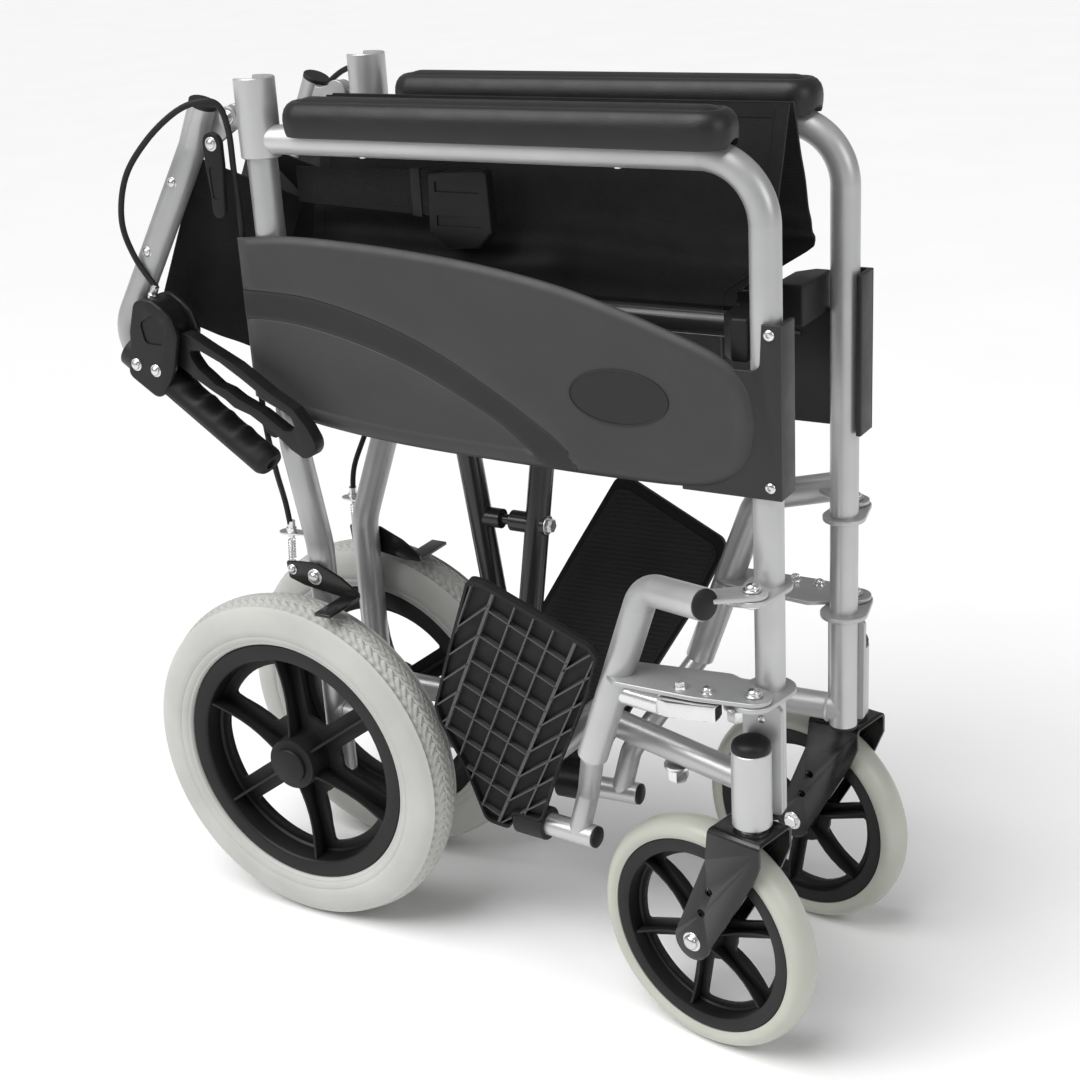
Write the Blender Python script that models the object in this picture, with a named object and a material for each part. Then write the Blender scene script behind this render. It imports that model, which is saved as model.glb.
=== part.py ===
"""Folding transport wheelchair at rest in its folded state.

Metres. +X is the chair's forward, +Y its left, +Z up, and the ground is z = 0.
The object is symmetric about y = 0. Names end in _left (+Y) and _right (-Y).
"""

import math

import bmesh
import bpy
from mathutils import Matrix, Vector

GAP = 0.0003  # clearance between neighbouring pieces

# Placement along X that puts the origin under the middle of the bounding box.
X_SHIFT = -0.17725

# Main frame tubing.
TUBE_R = 0.0115
SIDE_Y = 0.076
ARM_Z = 0.714
ARM_BEND_R = 0.048
POST_X = 0.4615
POST_FOOT_Z = 0.212
REAR_X = 0.0315
REAR_R = 0.0122
SLEEVE_R = 0.0165
SLEEVE_Z = (0.700, 0.762)
LEG_Y = 0.034
LEG_X = 0.014
LEG_TOP_Z = 0.462
LEG_LOW_Z = 0.352
LEG_FOOT_Z = 0.128

# Lower rail and the cross brace that folds the chair.
RAIL_Z = 0.190
RAIL_Y = 0.036
SEAT_Z = 0.585
SEAT_RAIL_R = 0.0105
SEAT_RAIL_X = (0.062, 0.437)
BRACE_R = 0.0105
BRACE_A_LOW_X = 0.209
BRACE_A_TOP_X = 0.229
BRACE_B_X = 0.163
EYE_LENGTH = 0.026
EYE_WALL = 0.0040

# Rear wheels.
WHEEL_R = 0.157
WHEEL_Y = 0.071
TYRE_HALF = 0.0233
RIM_R = 0.1158
AXLE_R = 0.006
WHEEL_SIDES = 32

# Casters.
CASTER_R = 0.100
CASTER_X = 0.457
CASTER_Y = 0.1036
CASTER_TRAIL = 0.045
CASTER_YAW = math.radians(-12)
CASTER_TYRE_HALF = 0.0145
CASTER_RIM_R = 0.0842
HOUSING_R = 0.0155
HOUSING_Z = (0.2130, 0.2860)

# Folding backrest. It is drawn raised, then turned down about its hinge.
BACK_PIVOT = (0.0036, 0.7301)
BACK_FOLD = math.radians(154.75)
BACK_CORNER = 0.2139
SADDLE_FLOOR = 0.7295
GRIP_Y = 0.108
GRIP_R = 0.0155
GRIP_SPAN = (0.034, 0.173)
GRIP_TILT = math.radians(8.5)
LEVER_PIVOT = (0.035, 0.030)

# Upholstery.
SLING_HALF = 0.1555
SLING_ANGLE = math.radians(72)
SLING_X = (0.047, 0.450)
SLING_NECK_X = 0.421
CLOTH = 0.0024
FLAP_WIDTH = 0.0968
FLAP_ANGLE = math.radians(-67)
FLAP_Z = (0.787, 0.908)

# Swing-away footrests.
HINGE_X = 0.460
HINGE_Y = 0.104
HINGE_LOW_Z = 0.3135
HINGE_TOP_Z = 0.3980
HANGER_R = 0.0125
DROP_R = 0.0095
FOOT_PIVOT = (0.266, 0.0395, 0.124)
FOOT_HEADING = math.radians(4)
FOOT_LEAN = math.radians(17)
PLATE_HALF = 0.0035
PLATE_OFFSET = 0.0075
PIVOT_TUBE_R = 0.0100

MATERIALS = {
    "silver_paint": ((0.62, 0.63, 0.64, 1.0), 0.35, 0.7),
    "black_metal": ((0.02, 0.02, 0.022, 1.0), 0.35, 0.5),
    "bright_steel": ((0.70, 0.70, 0.72, 1.0), 0.25, 1.0),
    "charcoal_plastic": ((0.055, 0.056, 0.06, 1.0), 0.6, 0.0),
    "black_plastic": ((0.02, 0.02, 0.02, 1.0), 0.5, 0.0),
    "black_rubber": ((0.025, 0.025, 0.025, 1.0), 0.7, 0.0),
    "black_nylon": ((0.02, 0.02, 0.024, 1.0), 0.85, 0.0),
    "arm_foam": ((0.018, 0.018, 0.018, 1.0), 0.55, 0.0),
    "grey_rubber": ((0.50, 0.50, 0.48, 1.0), 0.7, 0.0),
    "grey_polyurethane": ((0.52, 0.53, 0.46, 1.0), 0.45, 0.0),
}


# ---------------------------------------------------------------- helpers


def clear_scene():
    for obj in list(bpy.data.objects):
        bpy.data.objects.remove(obj)


def material(name):
    found = bpy.data.materials.get(name)
    if found:
        return found
    colour, rough, metal = MATERIALS[name]
    made = bpy.data.materials.new(name)
    made.use_nodes = True
    shader = made.node_tree.nodes["Principled BSDF"]
    shader.inputs["Base Color"].default_value = colour
    shader.inputs["Roughness"].default_value = rough
    shader.inputs["Metallic"].default_value = metal
    made.diffuse_color = colour
    return made


def mesh_object(name, verts, faces):
    mesh = bpy.data.meshes.new(name)
    mesh.from_pydata([tuple(v) for v in verts], [], faces)
    work = bmesh.new()
    work.from_mesh(mesh)
    bmesh.ops.recalc_face_normals(work, faces=work.faces)
    work.to_mesh(mesh)
    work.free()
    obj = bpy.data.objects.new(name, mesh)
    bpy.context.scene.collection.objects.link(obj)
    return obj


def rounded_path(corners, radius, steps=5):
    """The corners joined by straight runs, with an arc at each inner corner."""
    points = [Vector(corners[0])]
    for before, here, after in zip(corners, corners[1:], corners[2:]):
        here = Vector(here)
        into = (here - Vector(before)).normalized()
        out = (Vector(after) - here).normalized()
        turn = into.angle(out)
        if turn < 0.02:
            points.append(here)
            continue
        reach = radius * math.tan(turn / 2)
        start = here - into * reach
        side = (out - into * into.dot(out)).normalized()
        centre = start + side * radius
        for i in range(steps + 1):
            a = turn * i / steps
            points.append(centre - side * radius * math.cos(a) + into * radius * math.sin(a))
    points.append(Vector(corners[-1]))
    return points


def sweep(name, points, radius, sides=12):
    """A round bar along the points. The radius may be one value, or one for each point."""
    points = [Vector(p) for p in points]
    radii = radius if isinstance(radius, (list, tuple)) else [radius] * len(points)
    tangents = []
    for i in range(len(points)):
        ahead = points[min(i + 1, len(points) - 1)] - points[i]
        behind = points[i] - points[max(i - 1, 0)]
        tangents.append((ahead.normalized() + behind.normalized()).normalized())
    up = Vector((0, 1, 0)) if abs(tangents[0].y) < 0.9 else Vector((0, 0, 1))
    normal = (up - tangents[0] * up.dot(tangents[0])).normalized()
    verts = []
    for i, (point, tangent) in enumerate(zip(points, tangents)):
        if i:
            turn = tangents[i - 1].rotation_difference(tangent)
            normal = turn @ normal
        normal = (normal - tangent * normal.dot(tangent)).normalized()
        side = tangent.cross(normal)
        for k in range(sides):
            a = 2 * math.pi * k / sides
            verts.append(point + (normal * math.cos(a) + side * math.sin(a)) * radii[i])
    faces = []
    for i in range(len(points) - 1):
        for k in range(sides):
            n = (k + 1) % sides
            faces.append((i * sides + k, i * sides + n, (i + 1) * sides + n, (i + 1) * sides + k))
    faces.append(tuple(range(sides)))
    faces.append(tuple(range((len(points) - 1) * sides, len(points) * sides)))
    return mesh_object(name, verts, faces)


def lathe(name, profile, origin, axis, sides=32):
    """A closed profile of (radius, height) turned about an axis. Radius 0 makes a pole."""
    axis = Vector(axis).normalized()
    first = axis.orthogonal().normalized()
    second = axis.cross(first)
    origin = Vector(origin)
    verts = []
    rings = []
    for radius, height in profile:
        start = len(verts)
        if radius == 0:
            verts.append(origin + axis * height)
            rings.append([start] * sides)
            continue
        for k in range(sides):
            a = 2 * math.pi * k / sides
            out = first * math.cos(a) + second * math.sin(a)
            verts.append(origin + axis * height + out * radius)
        rings.append(list(range(start, start + sides)))
    faces = []
    for here, there in zip(rings, rings[1:] + rings[:1]):
        if here[0] == here[1] and there[0] == there[1]:
            continue
        for k in range(sides):
            n = (k + 1) % sides
            corner = [here[k], here[n], there[n], there[k]]
            face = [v for i, v in enumerate(corner) if v not in corner[:i]]
            faces.append(tuple(face))
    return mesh_object(name, verts, faces)


def cylinder(name, start, end, radius, sides=16):
    return sweep(name, [start, end], radius, sides)


def prism(name, outline, low, high, to_world):
    """A flat outline given thickness. to_world(u, v, w) places each point."""
    n = len(outline)
    verts = [to_world(u, v, low) for u, v in outline]
    verts += [to_world(u, v, high) for u, v in outline]
    faces = [tuple(range(n)), tuple(range(n, 2 * n))]
    for i in range(n):
        j = (i + 1) % n
        faces.append((i, j, n + j, n + i))
    return mesh_object(name, verts, faces)


def side_plate(name, outline, y_low, y_high):
    return prism(name, outline, y_low, y_high, lambda x, z, y: (x, y, z))


def flat_plate(name, outline, z_low, z_high):
    return prism(name, outline, z_low, z_high, lambda x, y, z: (x, y, z))


def box(name, low, high):
    corners = [(low[0], low[1]), (high[0], low[1]), (high[0], high[1]), (low[0], high[1])]
    return flat_plate(name, corners, low[2], high[2])


def arc(cx, cy, radius, start, end, steps):
    """Points on an arc, with the angles in degrees."""
    turns = [math.radians(start + (end - start) * i / steps) for i in range(steps + 1)]
    return [(cx + radius * math.cos(a), cy + radius * math.sin(a)) for a in turns]


def link_outline(a, ra, b, rb, steps=8):
    """The outline of a strap with a round end about each of two centres."""
    heading = math.degrees(math.atan2(b[1] - a[1], b[0] - a[0]))
    far = math.hypot(b[0] - a[0], b[1] - a[1])
    tilt = math.degrees(math.asin((ra - rb) / far))
    points = arc(a[0], a[1], ra, heading + 90 - tilt, heading + 270 + tilt, steps)
    return points + arc(b[0], b[1], rb, heading - 90 + tilt, heading + 90 - tilt, steps)


def settle(obj, modifier=None):
    """The object with its modifiers applied."""
    graph = bpy.context.evaluated_depsgraph_get()
    graph.update()
    done = bpy.data.meshes.new_from_object(obj.evaluated_get(graph))
    obj.modifiers.clear()
    obj.data = done
    return obj


def combine(obj, other, operation):
    cut = obj.modifiers.new("cut", "BOOLEAN")
    cut.operation = operation
    cut.solver = "EXACT"
    cut.object = other
    settle(obj)
    bpy.data.objects.remove(other)
    return obj


def join(obj, *others):
    for other in others:
        combine(obj, other, "UNION")
    return obj


def carve(obj, *others):
    for other in others:
        combine(obj, other, "DIFFERENCE")
    return obj


def soften(obj, width, segments=2, angle=40):
    edge = obj.modifiers.new("edge", "BEVEL")
    edge.width = width
    edge.segments = segments
    edge.limit_method = "ANGLE"
    edge.angle_limit = math.radians(angle)
    return settle(obj)


def turn_about(obj, point, axis, angle):
    place = Matrix.Translation(Vector(point))
    matrix = place @ Matrix.Rotation(angle, 4, Vector(axis)) @ place.inverted()
    obj.data.transform(matrix)
    return obj


def finish(obj, name, look, origin, smooth=True, crease=35):
    """Names the piece, shades it, and puts its origin on its joint's axis."""
    obj.name = name
    obj.data.name = name
    obj.data.materials.clear()
    own = material(look).copy()
    own.name = name + "_" + look
    obj.data.materials.append(own)
    work = bmesh.new()
    work.from_mesh(obj.data)
    bmesh.ops.remove_doubles(work, verts=work.verts, dist=1e-6)
    bmesh.ops.dissolve_degenerate(work, edges=work.edges, dist=1e-6)
    bmesh.ops.recalc_face_normals(work, faces=work.faces)
    for face in work.faces:
        face.smooth = smooth
    for edge in work.edges:
        sharp = len(edge.link_faces) == 2 and edge.calc_face_angle(0) > math.radians(crease)
        edge.smooth = not sharp
    work.to_mesh(obj.data)
    work.free()
    origin = Vector(origin)
    obj.data.transform(Matrix.Translation(-origin))
    obj.location = origin + Vector((X_SHIFT, 0, 0))
    return obj


def smooth_curve(points, steps):
    """Points on a smooth curve through the given ones."""
    points = [Vector(p) for p in points]
    out = []
    for i in range(len(points) - 1):
        before = points[max(i - 1, 0)]
        start, end = points[i], points[i + 1]
        after = points[min(i + 2, len(points) - 1)]
        for k in range(steps):
            t = k / steps
            out.append(
                0.5
                * (
                    2 * start
                    + (end - before) * t
                    + (2 * before - 5 * start + 4 * end - after) * t * t
                    + (3 * start - before - 3 * end + after) * t * t * t
                )
            )
    out.append(points[-1])
    return out


# ---------------------------------------------------------------- side frames


def armrest_tube(side, s):
    """Armrest bar, front post and the two footrest hinge brackets, as one weldment."""
    y = SIDE_Y * s
    path = rounded_path(
        [(0.040, y, ARM_Z), (POST_X, y, ARM_Z), (POST_X, y, POST_FOOT_Z)], ARM_BEND_R, 5
    )
    tube = sweep("tube", path, TUBE_R, 14)
    sleeve = cylinder("sleeve", (REAR_X, y, 0.69), (REAR_X, y, 0.77), SLEEVE_R + GAP, 20)
    carve(tube, sleeve)
    hinge = (HINGE_X, HINGE_Y * s)
    for low, eye in ((HINGE_TOP_Z, 0.0135), (HINGE_LOW_Z, 0.0155)):
        outline = link_outline((POST_X, y), eye + 0.0040, hinge, eye, 6)
        join(tube, flat_plate("bracket", outline, low, low + 0.0040))
        pin = cylinder("pin", (*hinge, low), (*hinge, low + 0.0140), 0.0040, 12)
        join(tube, pin)
    return finish(tube, "armrest_tube_" + side, "silver_paint", (POST_X, y, ARM_Z))


def rear_post(side, s):
    """Rear post with its sleeve, inward-bent leg, axle and backrest hinge lug."""
    y = SIDE_Y * s
    path = rounded_path(
        [
            (REAR_X, y, SLEEVE_Z[0] + 0.004),
            (REAR_X, y, LEG_TOP_Z),
            (LEG_X, LEG_Y * s, LEG_LOW_Z),
            (LEG_X, LEG_Y * s, LEG_FOOT_Z),
        ],
        0.05,
        3,
    )
    post = sweep("post", path, REAR_R, 14)
    foot, top = SLEEVE_Z
    sleeve = cylinder("sleeve", (REAR_X, y, foot), (REAR_X, y, top), SLEEVE_R, 20)
    join(post, sleeve)
    seat = SADDLE_FLOOR
    bore = cylinder("bore", (REAR_X, y, seat), (REAR_X, y, top + 0.01), TUBE_R + 2 * GAP, 20)
    mouth = box("mouth", (0, y - TUBE_R - 2 * GAP, seat), (REAR_X, y + TUBE_R + 2 * GAP, top + 0.01))
    carve(post, bore, mouth)
    x, z = BACK_PIVOT
    outline = [(0.022, z - 0.0090), (0.022, z - 0.0025), (0.0165, z - 0.0015)]
    outline += arc(x, z, 0.0090, 10, 270, 9)
    join(post, side_plate("lug", outline, 0.0716 * s, 0.0795 * s))
    boss = cylinder("boss", (0, 0.024 * s, WHEEL_R), (0, 0.0465 * s, WHEEL_R), 0.0120, 16)
    axle = cylinder("axle", (0, 0.030 * s, WHEEL_R), (0, 0.0880 * s, WHEEL_R), AXLE_R, 16)
    join(post, boss, axle)
    return finish(post, "rear_post_" + side, "silver_paint", (REAR_X, y, ARM_Z))


def lower_rail(side, s):
    """Rail from the front post to the rear leg. Its level run carries the cross brace."""
    y = RAIL_Y * s
    path = rounded_path(
        [
            (POST_X, SIDE_Y * s, 0.2285),
            (0.292, 0.0405 * s, 0.2425),
            (0.236, y, RAIL_Z),
            (0.100, y, RAIL_Z),
            (LEG_X, LEG_Y * s, RAIL_Z),
        ],
        0.024,
        3,
    )
    rail = sweep("rail", path, TUBE_R, 14)
    post = cylinder(
        "post", (POST_X, SIDE_Y * s, 0.15), (POST_X, SIDE_Y * s, 0.30), TUBE_R + GAP, 20
    )
    leg = cylinder("leg", (LEG_X, LEG_Y * s, 0.10), (LEG_X, LEG_Y * s, 0.30), REAR_R + GAP, 20)
    carve(rail, post, leg)
    work = bmesh.new()
    work.from_mesh(rail.data)
    ends = [v for v in work.verts if v.co.x > POST_X or v.co.x < LEG_X]
    bmesh.ops.delete(work, geom=ends, context="VERTS")
    work.to_mesh(rail.data)
    work.free()
    return finish(rail, "lower_rail_" + side, "silver_paint", (POST_X, SIDE_Y * s, 0.2285))


def caster_housing(side, s):
    """Upright bearing housing beside the front post, closed by a domed cap."""
    low, high = HOUSING_Z
    profile = [
        (0.0086, low),
        (HOUSING_R, low),
        (HOUSING_R, high - 0.010),
        (0.0150, high - 0.0095),
        (0.0145, high - 0.004),
        (0.0110, high - 0.001),
        (0, high),
        (0, low + 0.052),
        (0.0086, low + 0.052),
    ]
    base = (CASTER_X, CASTER_Y * s, 0)
    housing = lathe("housing", profile, base, (0, 0, 1), 20)
    return finish(housing, "caster_housing_" + side, "silver_paint", base)


def side_panel(side, s):
    """Moulded skirt guard with an arched top edge and a clamp strip on the post."""
    arch = [(0.060, 0.6405), (0.120, 0.639), (0.180, 0.635), (0.240, 0.6285)]
    arch += [(0.300, 0.618), (0.350, 0.6045), (0.400, 0.588), (0.449, 0.5665)]
    outline = [(0.052, 0.4885), (0.010, 0.503), (0.008, 0.560), (0.010, 0.637)] + arch
    outline += [(0.449, 0.6015), (0.4788, 0.6015), (0.4788, 0.4725), (0.288, 0.4725)]
    outline += [(0.150, 0.4770)]
    panel = side_plate("panel", outline, 0.0888 * s, 0.0948 * s)
    join(panel, side_plate("strip", [(0.4742, 0.4725), (0.4788, 0.4725), (0.4788, 0.6015),
                                     (0.4742, 0.6015)], 0.0660 * s, 0.0900 * s))
    soften(panel, 0.0012, 1)
    return finish(panel, "side_panel_" + side, "charcoal_plastic", (0.25, 0.09 * s, 0.55))


def armrest_pad(side, s):
    """Moulded armrest pad lying on the armrest bar."""
    low, high = (0.064, 0.0545), (0.441, 0.1000)
    outline = []
    for cx, cy, start in (
        (high[0] - 0.020, high[1] - 0.020, 0),
        (low[0] + 0.016, high[1] - 0.016, 90),
        (low[0] + 0.016, low[1] + 0.016, 180),
        (high[0] - 0.020, low[1] + 0.020, 270),
    ):
        radius = 0.020 if cx > 0.2 else 0.016
        outline += arc(cx, cy, radius, start, start + 90, 3)
    outline = [(x, y * s) for x, y in outline]
    pad = flat_plate("pad", outline, ARM_Z + 0.0048, 0.7480)
    soften(pad, 0.0070, 2, 60)
    bar = cylinder("bar", (0, SIDE_Y * s, ARM_Z), (0.5, SIDE_Y * s, ARM_Z), TUBE_R + GAP, 14)
    carve(pad, bar)
    return finish(pad, "armrest_pad_" + side, "arm_foam", (0.25, 0.077 * s, 0.74))


# ---------------------------------------------------------------- wheels


def window_cutters(inner, outer, spoke, y, count, thickness):
    """Wedge-shaped windows between the spokes, for a wheel centred on the Y axis."""
    cutters = []
    for i in range(count):
        middle = 360 * (i + 0.5) / count + 90
        half_in = 180 / count - math.degrees(math.asin(spoke / inner))
        half_out = 180 / count - math.degrees(math.asin(spoke / outer))
        outline = arc(0, 0, outer, middle - half_out, middle + half_out, 4)
        outline += arc(0, 0, inner, middle + half_in, middle - half_in, 1)
        cutters.append(side_plate("window", outline, y - thickness, y + thickness))
    return cutters


def rear_wheel(side, s):
    """Six-spoke moulded rim with a wide hub, bored for the axle and capped outside."""
    y = WHEEL_Y * s
    profile = [
        (AXLE_R + GAP, -0.0210),
        (0.0220, -0.0210),
        (0.0240, -0.0060),
        (0.0960, -0.0060),
        (0.1010, -0.0170),
        (RIM_R, -0.0175),
        (RIM_R, 0.0175),
        (0.1010, 0.0170),
        (0.0960, 0.0050),
        (0.0260, 0.0050),
        (0.0240, 0.0190),
        (0.0190, 0.0245),
        (0.0, 0.0270),
        (0.0, 0.0190),
        (AXLE_R + GAP, 0.0190),
    ]
    wheel = lathe("wheel", [(r, h * s) for r, h in profile], (0, 0, 0), (0, 1, 0), WHEEL_SIDES)
    for cutter in window_cutters(0.034, 0.0935, 0.0085, 0, 6, 0.02):
        carve(wheel, cutter)
    wheel.data.transform(Matrix.Translation((0, y, WHEEL_R)))
    return finish(wheel, "rear_wheel_" + side, "black_plastic", (0, y, WHEEL_R))


def rear_tyre(side, s):
    y = WHEEL_Y * s
    inner = RIM_R + GAP
    half = [(inner, 0.0185), (0.1250, 0.0230), (0.1380, TYRE_HALF), (0.1500, 0.0170)]
    half += [(0.1558, 0.0075)]
    profile = [(r, -h) for r, h in half] + [(WHEEL_R, 0)] + [(r, h) for r, h in reversed(half)]
    tyre = lathe("tyre", profile, (0, y, WHEEL_R), (0, 1, 0), WHEEL_SIDES)
    return finish(tyre, "rear_tyre_" + side, "grey_rubber", (0, y, WHEEL_R))


def caster_parts(side, s):
    """Fork, rim and tyre, drawn trailing straight back and then swivelled a little."""
    x, y = CASTER_X, CASTER_Y * s
    axle_x = x - CASTER_TRAIL
    arm = [(x + 0.021, 0.2095), (x - 0.027, 0.2095), (x - 0.030, 0.180)]
    arm += arc(axle_x, CASTER_R, 0.0165, 165, 345, 7)
    arm += [(x + 0.012, 0.168), (x + 0.021, 0.190)]
    arm = arm[::-1]
    fork = side_plate("arm", arm, y + 0.0188, y + 0.0218)
    join(fork, side_plate("arm", arm, y - 0.0218, y - 0.0188))
    crown = [(x + 0.021, 0.2040), (x + 0.021, 0.2095), (x - 0.027, 0.2095), (x - 0.027, 0.2040)]
    join(fork, side_plate("crown", crown, y - 0.0200, y + 0.0200))
    join(fork, cylinder("stem", (x, y, 0.206), (x, y, 0.258), 0.0082, 16))
    join(fork, cylinder("axle", (axle_x, y - 0.0205, CASTER_R), (axle_x, y + 0.0205, CASTER_R),
                        0.0040, 16))
    for side_y in (-1, 1):
        nut = cylinder("nut", (axle_x, y + 0.0210 * side_y, CASTER_R),
                       (axle_x, y + 0.0255 * side_y, CASTER_R), 0.0065, 12)
        join(fork, nut)
    profile = [
        (0.0043, -0.0170),
        (0.0150, -0.0170),
        (0.0165, -0.0045),
        (0.0700, -0.0045),
        (0.0735, -0.0120),
        (CASTER_RIM_R, -0.0122),
        (CASTER_RIM_R, 0.0122),
        (0.0735, 0.0120),
        (0.0700, 0.0045),
        (0.0165, 0.0045),
        (0.0150, 0.0170),
        (0.0043, 0.0170),
    ]
    wheel = lathe("wheel", profile, (0, 0, 0), (0, 1, 0), WHEEL_SIDES)
    for cutter in window_cutters(0.023, 0.0680, 0.0062, 0, 6, 0.016):
        carve(wheel, cutter)
    centre = Matrix.Translation((axle_x, y, CASTER_R))
    wheel.data.transform(centre)
    half = [(CASTER_RIM_R + GAP, 0.0128), (0.0910, CASTER_TYRE_HALF), (0.0970, 0.0115)]
    half += [(0.0998, 0.0045)]
    ring = [(r, -h) for r, h in half] + [(r, h) for r, h in reversed(half)]
    tyre = lathe("tyre", ring, (axle_x, y, CASTER_R), (0, 1, 0), WHEEL_SIDES)
    for obj in (fork, wheel, tyre):
        turn_about(obj, (x, y, 0), (0, 0, 1), CASTER_YAW)
    hub = Matrix.Translation((x, y, 0)) @ Matrix.Rotation(CASTER_YAW, 4, "Z")
    hub = hub @ Vector((-CASTER_TRAIL, 0, CASTER_R))
    finish(fork, "caster_fork_" + side, "black_metal", (x, y, 0.2))
    finish(wheel, "caster_wheel_" + side, "black_plastic", hub)
    finish(tyre, "caster_tyre_" + side, "grey_polyurethane", hub)


# ---------------------------------------------------------------- cross brace and seat


def eye(name, x, y, z, bore, side_length=EYE_LENGTH):
    outer, half = bore + EYE_WALL, side_length / 2
    ring = [(bore, -half), (outer, -half), (outer, half), (bore, half)]
    return lathe(name, ring, (x, y, z), (1, 0, 0), 18)


def brace(name, low_x, top_x, s, hub):
    """A cross tube: an eye round one lower rail, and an eye round the opposite seat rail."""
    low = Vector((low_x, -RAIL_Y * s, RAIL_Z))
    top = Vector((top_x, RAIL_Y * s, SEAT_Z))
    along = (top - low).normalized()
    tube = cylinder("tube", low + along * 0.0138, top - along * 0.0128, BRACE_R, 14)
    join(tube, eye("eye", low_x, low.y, RAIL_Z, TUBE_R + GAP))
    join(tube, eye("eye", top_x, top.y, SEAT_Z, SEAT_RAIL_R + GAP))
    middle = (RAIL_Z + SEAT_Z) / 2
    for start, end, radius in hub:
        join(tube, cylinder("hub", (start, 0, middle), (end, 0, middle), radius, 14))
    return finish(tube, name, "black_metal", (low.x, low.y, low.z) if s > 0 else (top_x, 0, middle))


def seat_rail(side, s):
    """Seat rail with the guide block that runs on the front post."""
    y = RAIL_Y * s
    rail = cylinder("rail", (SEAT_RAIL_X[0], y, SEAT_Z), (SEAT_RAIL_X[1], y, SEAT_Z), SEAT_RAIL_R)
    block = [(0.424, 0.022 * s), (0.4490, 0.022 * s), (0.4490, 0.080 * s), (0.436, 0.080 * s)]
    block += [(0.424, 0.066 * s)]
    guide = flat_plate("guide", block, SEAT_Z - 0.016, SEAT_Z + 0.016)
    soften(guide, 0.002, 1)
    join(rail, guide)
    return finish(rail, "seat_rail_" + side, "black_metal", (0.25, y, SEAT_Z))


def seat_sling(side, s):
    """One half of the seat sling. Its inner edge stands up when the chair is folded."""
    x0, x1 = SLING_X
    low = SEAT_Z + SEAT_RAIL_R + EYE_WALL + 0.0010
    hem, flare, edge = RAIL_Y + 0.008, RAIL_Y - 0.0220, RAIL_Y - SLING_HALF
    corners = [(x0, hem), (SLING_NECK_X, hem), (SLING_NECK_X, flare), (x1, flare - 0.0160)]
    corners += [(x1, edge), (x0, edge)]
    sling = flat_plate("sling", [(x, y * s) for x, y in corners], low, low + CLOTH)
    turn_about(sling, (0, RAIL_Y * s, SEAT_Z), (1, 0, 0), -SLING_ANGLE * s)
    return finish(sling, "seat_sling_" + side, "black_nylon", (0.25, RAIL_Y * s, SEAT_Z))


# ---------------------------------------------------------------- backrest


def fold_down(obj):
    """Turns a piece drawn with the backrest raised into its folded place."""
    return turn_about(obj, (BACK_PIVOT[0], 0, BACK_PIVOT[1]), (0, 1, 0), -BACK_FOLD)


def folded_point(x, y, z):
    place = Matrix.Translation((BACK_PIVOT[0], 0, BACK_PIVOT[1]))
    turn = place @ Matrix.Rotation(-BACK_FOLD, 4, "Y") @ place.inverted()
    return turn @ Vector((x, y, z))


def back_tube(side, s):
    """Upper back post, splayed out and bent back to the push handle, with its hinge plate."""
    eye_x, eye_z = BACK_PIVOT
    top = eye_z + BACK_CORNER
    reach = GRIP_SPAN[0] - GAP
    path = rounded_path(
        [
            (REAR_X, SIDE_Y * s, SADDLE_FLOOR + 0.0010),
            (REAR_X, SIDE_Y * s, SLEEVE_Z[1] + 0.008),
            (REAR_X, GRIP_Y * s, top),
            (REAR_X - reach * math.cos(GRIP_TILT), GRIP_Y * s, top + reach * math.sin(GRIP_TILT)),
        ],
        0.030,
        5,
    )
    tube = sweep("tube", path, TUBE_R, 14)
    plate = arc(eye_x, eye_z, 0.0098, 180, 355, 7)
    plate += [(0.0215, eye_z + 0.0045), (0.0300, eye_z + 0.0045), (0.0300, 0.7750), (0.0220, 0.7750)]
    join(tube, side_plate("plate", plate, 0.0664 * s, 0.0712 * s))
    fold_down(tube)
    pivot = (eye_x, SIDE_Y * s, eye_z)
    return finish(tube, "back_tube_" + side, "silver_paint", pivot)


def handle_point(along, below, y):
    """A folded point given by its distances along the grip and below it."""
    x = REAR_X - along * math.cos(GRIP_TILT) - below * math.sin(GRIP_TILT)
    z = BACK_PIVOT[1] + BACK_CORNER + along * math.sin(GRIP_TILT) - below * math.cos(GRIP_TILT)
    return folded_point(x, y, z)


def push_grip(side, s):
    """Handle grip with finger grooves along its lower side."""
    start, end = GRIP_SPAN
    profile = [(0, start)]
    rings = 8
    for i in range(rings + 1):
        wave = 0.0011 * (1 if i % 2 else -1)
        profile.append((GRIP_R - 0.0012 + wave, start + (end - start - 0.004) * i / rings))
    profile += [(GRIP_R - 0.003, end), (0, end)]
    base = handle_point(0, 0, GRIP_Y * s)
    ahead = handle_point(1, 0, GRIP_Y * s) - base
    grip = lathe("grip", profile, base, ahead, 16)
    return finish(grip, "push_grip_" + side, "black_rubber", base + ahead * start)


def brake_mount(side, s):
    """Brake lever housing in the corner between the back post and the grip."""
    outline = [(0.0095, 0.0330), (0.0150, 0.0190), (0.0290, 0.0125), (0.0330, 0.0125)]
    outline += [(0.0345, 0.0162), (0.0500, 0.0165), (0.0500, 0.0400), (0.0390, 0.0530)]
    outline += [(0.0260, 0.0590), (0.0080, 0.0560)]
    y = GRIP_Y * s
    mount = prism(
        "mount", outline, y - 0.011, y + 0.011, lambda a, b, w: handle_point(a, b, w)
    )
    origin = handle_point(0.03, 0.03, y)
    return finish(mount, "brake_mount_" + side, "black_plastic", origin)


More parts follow.
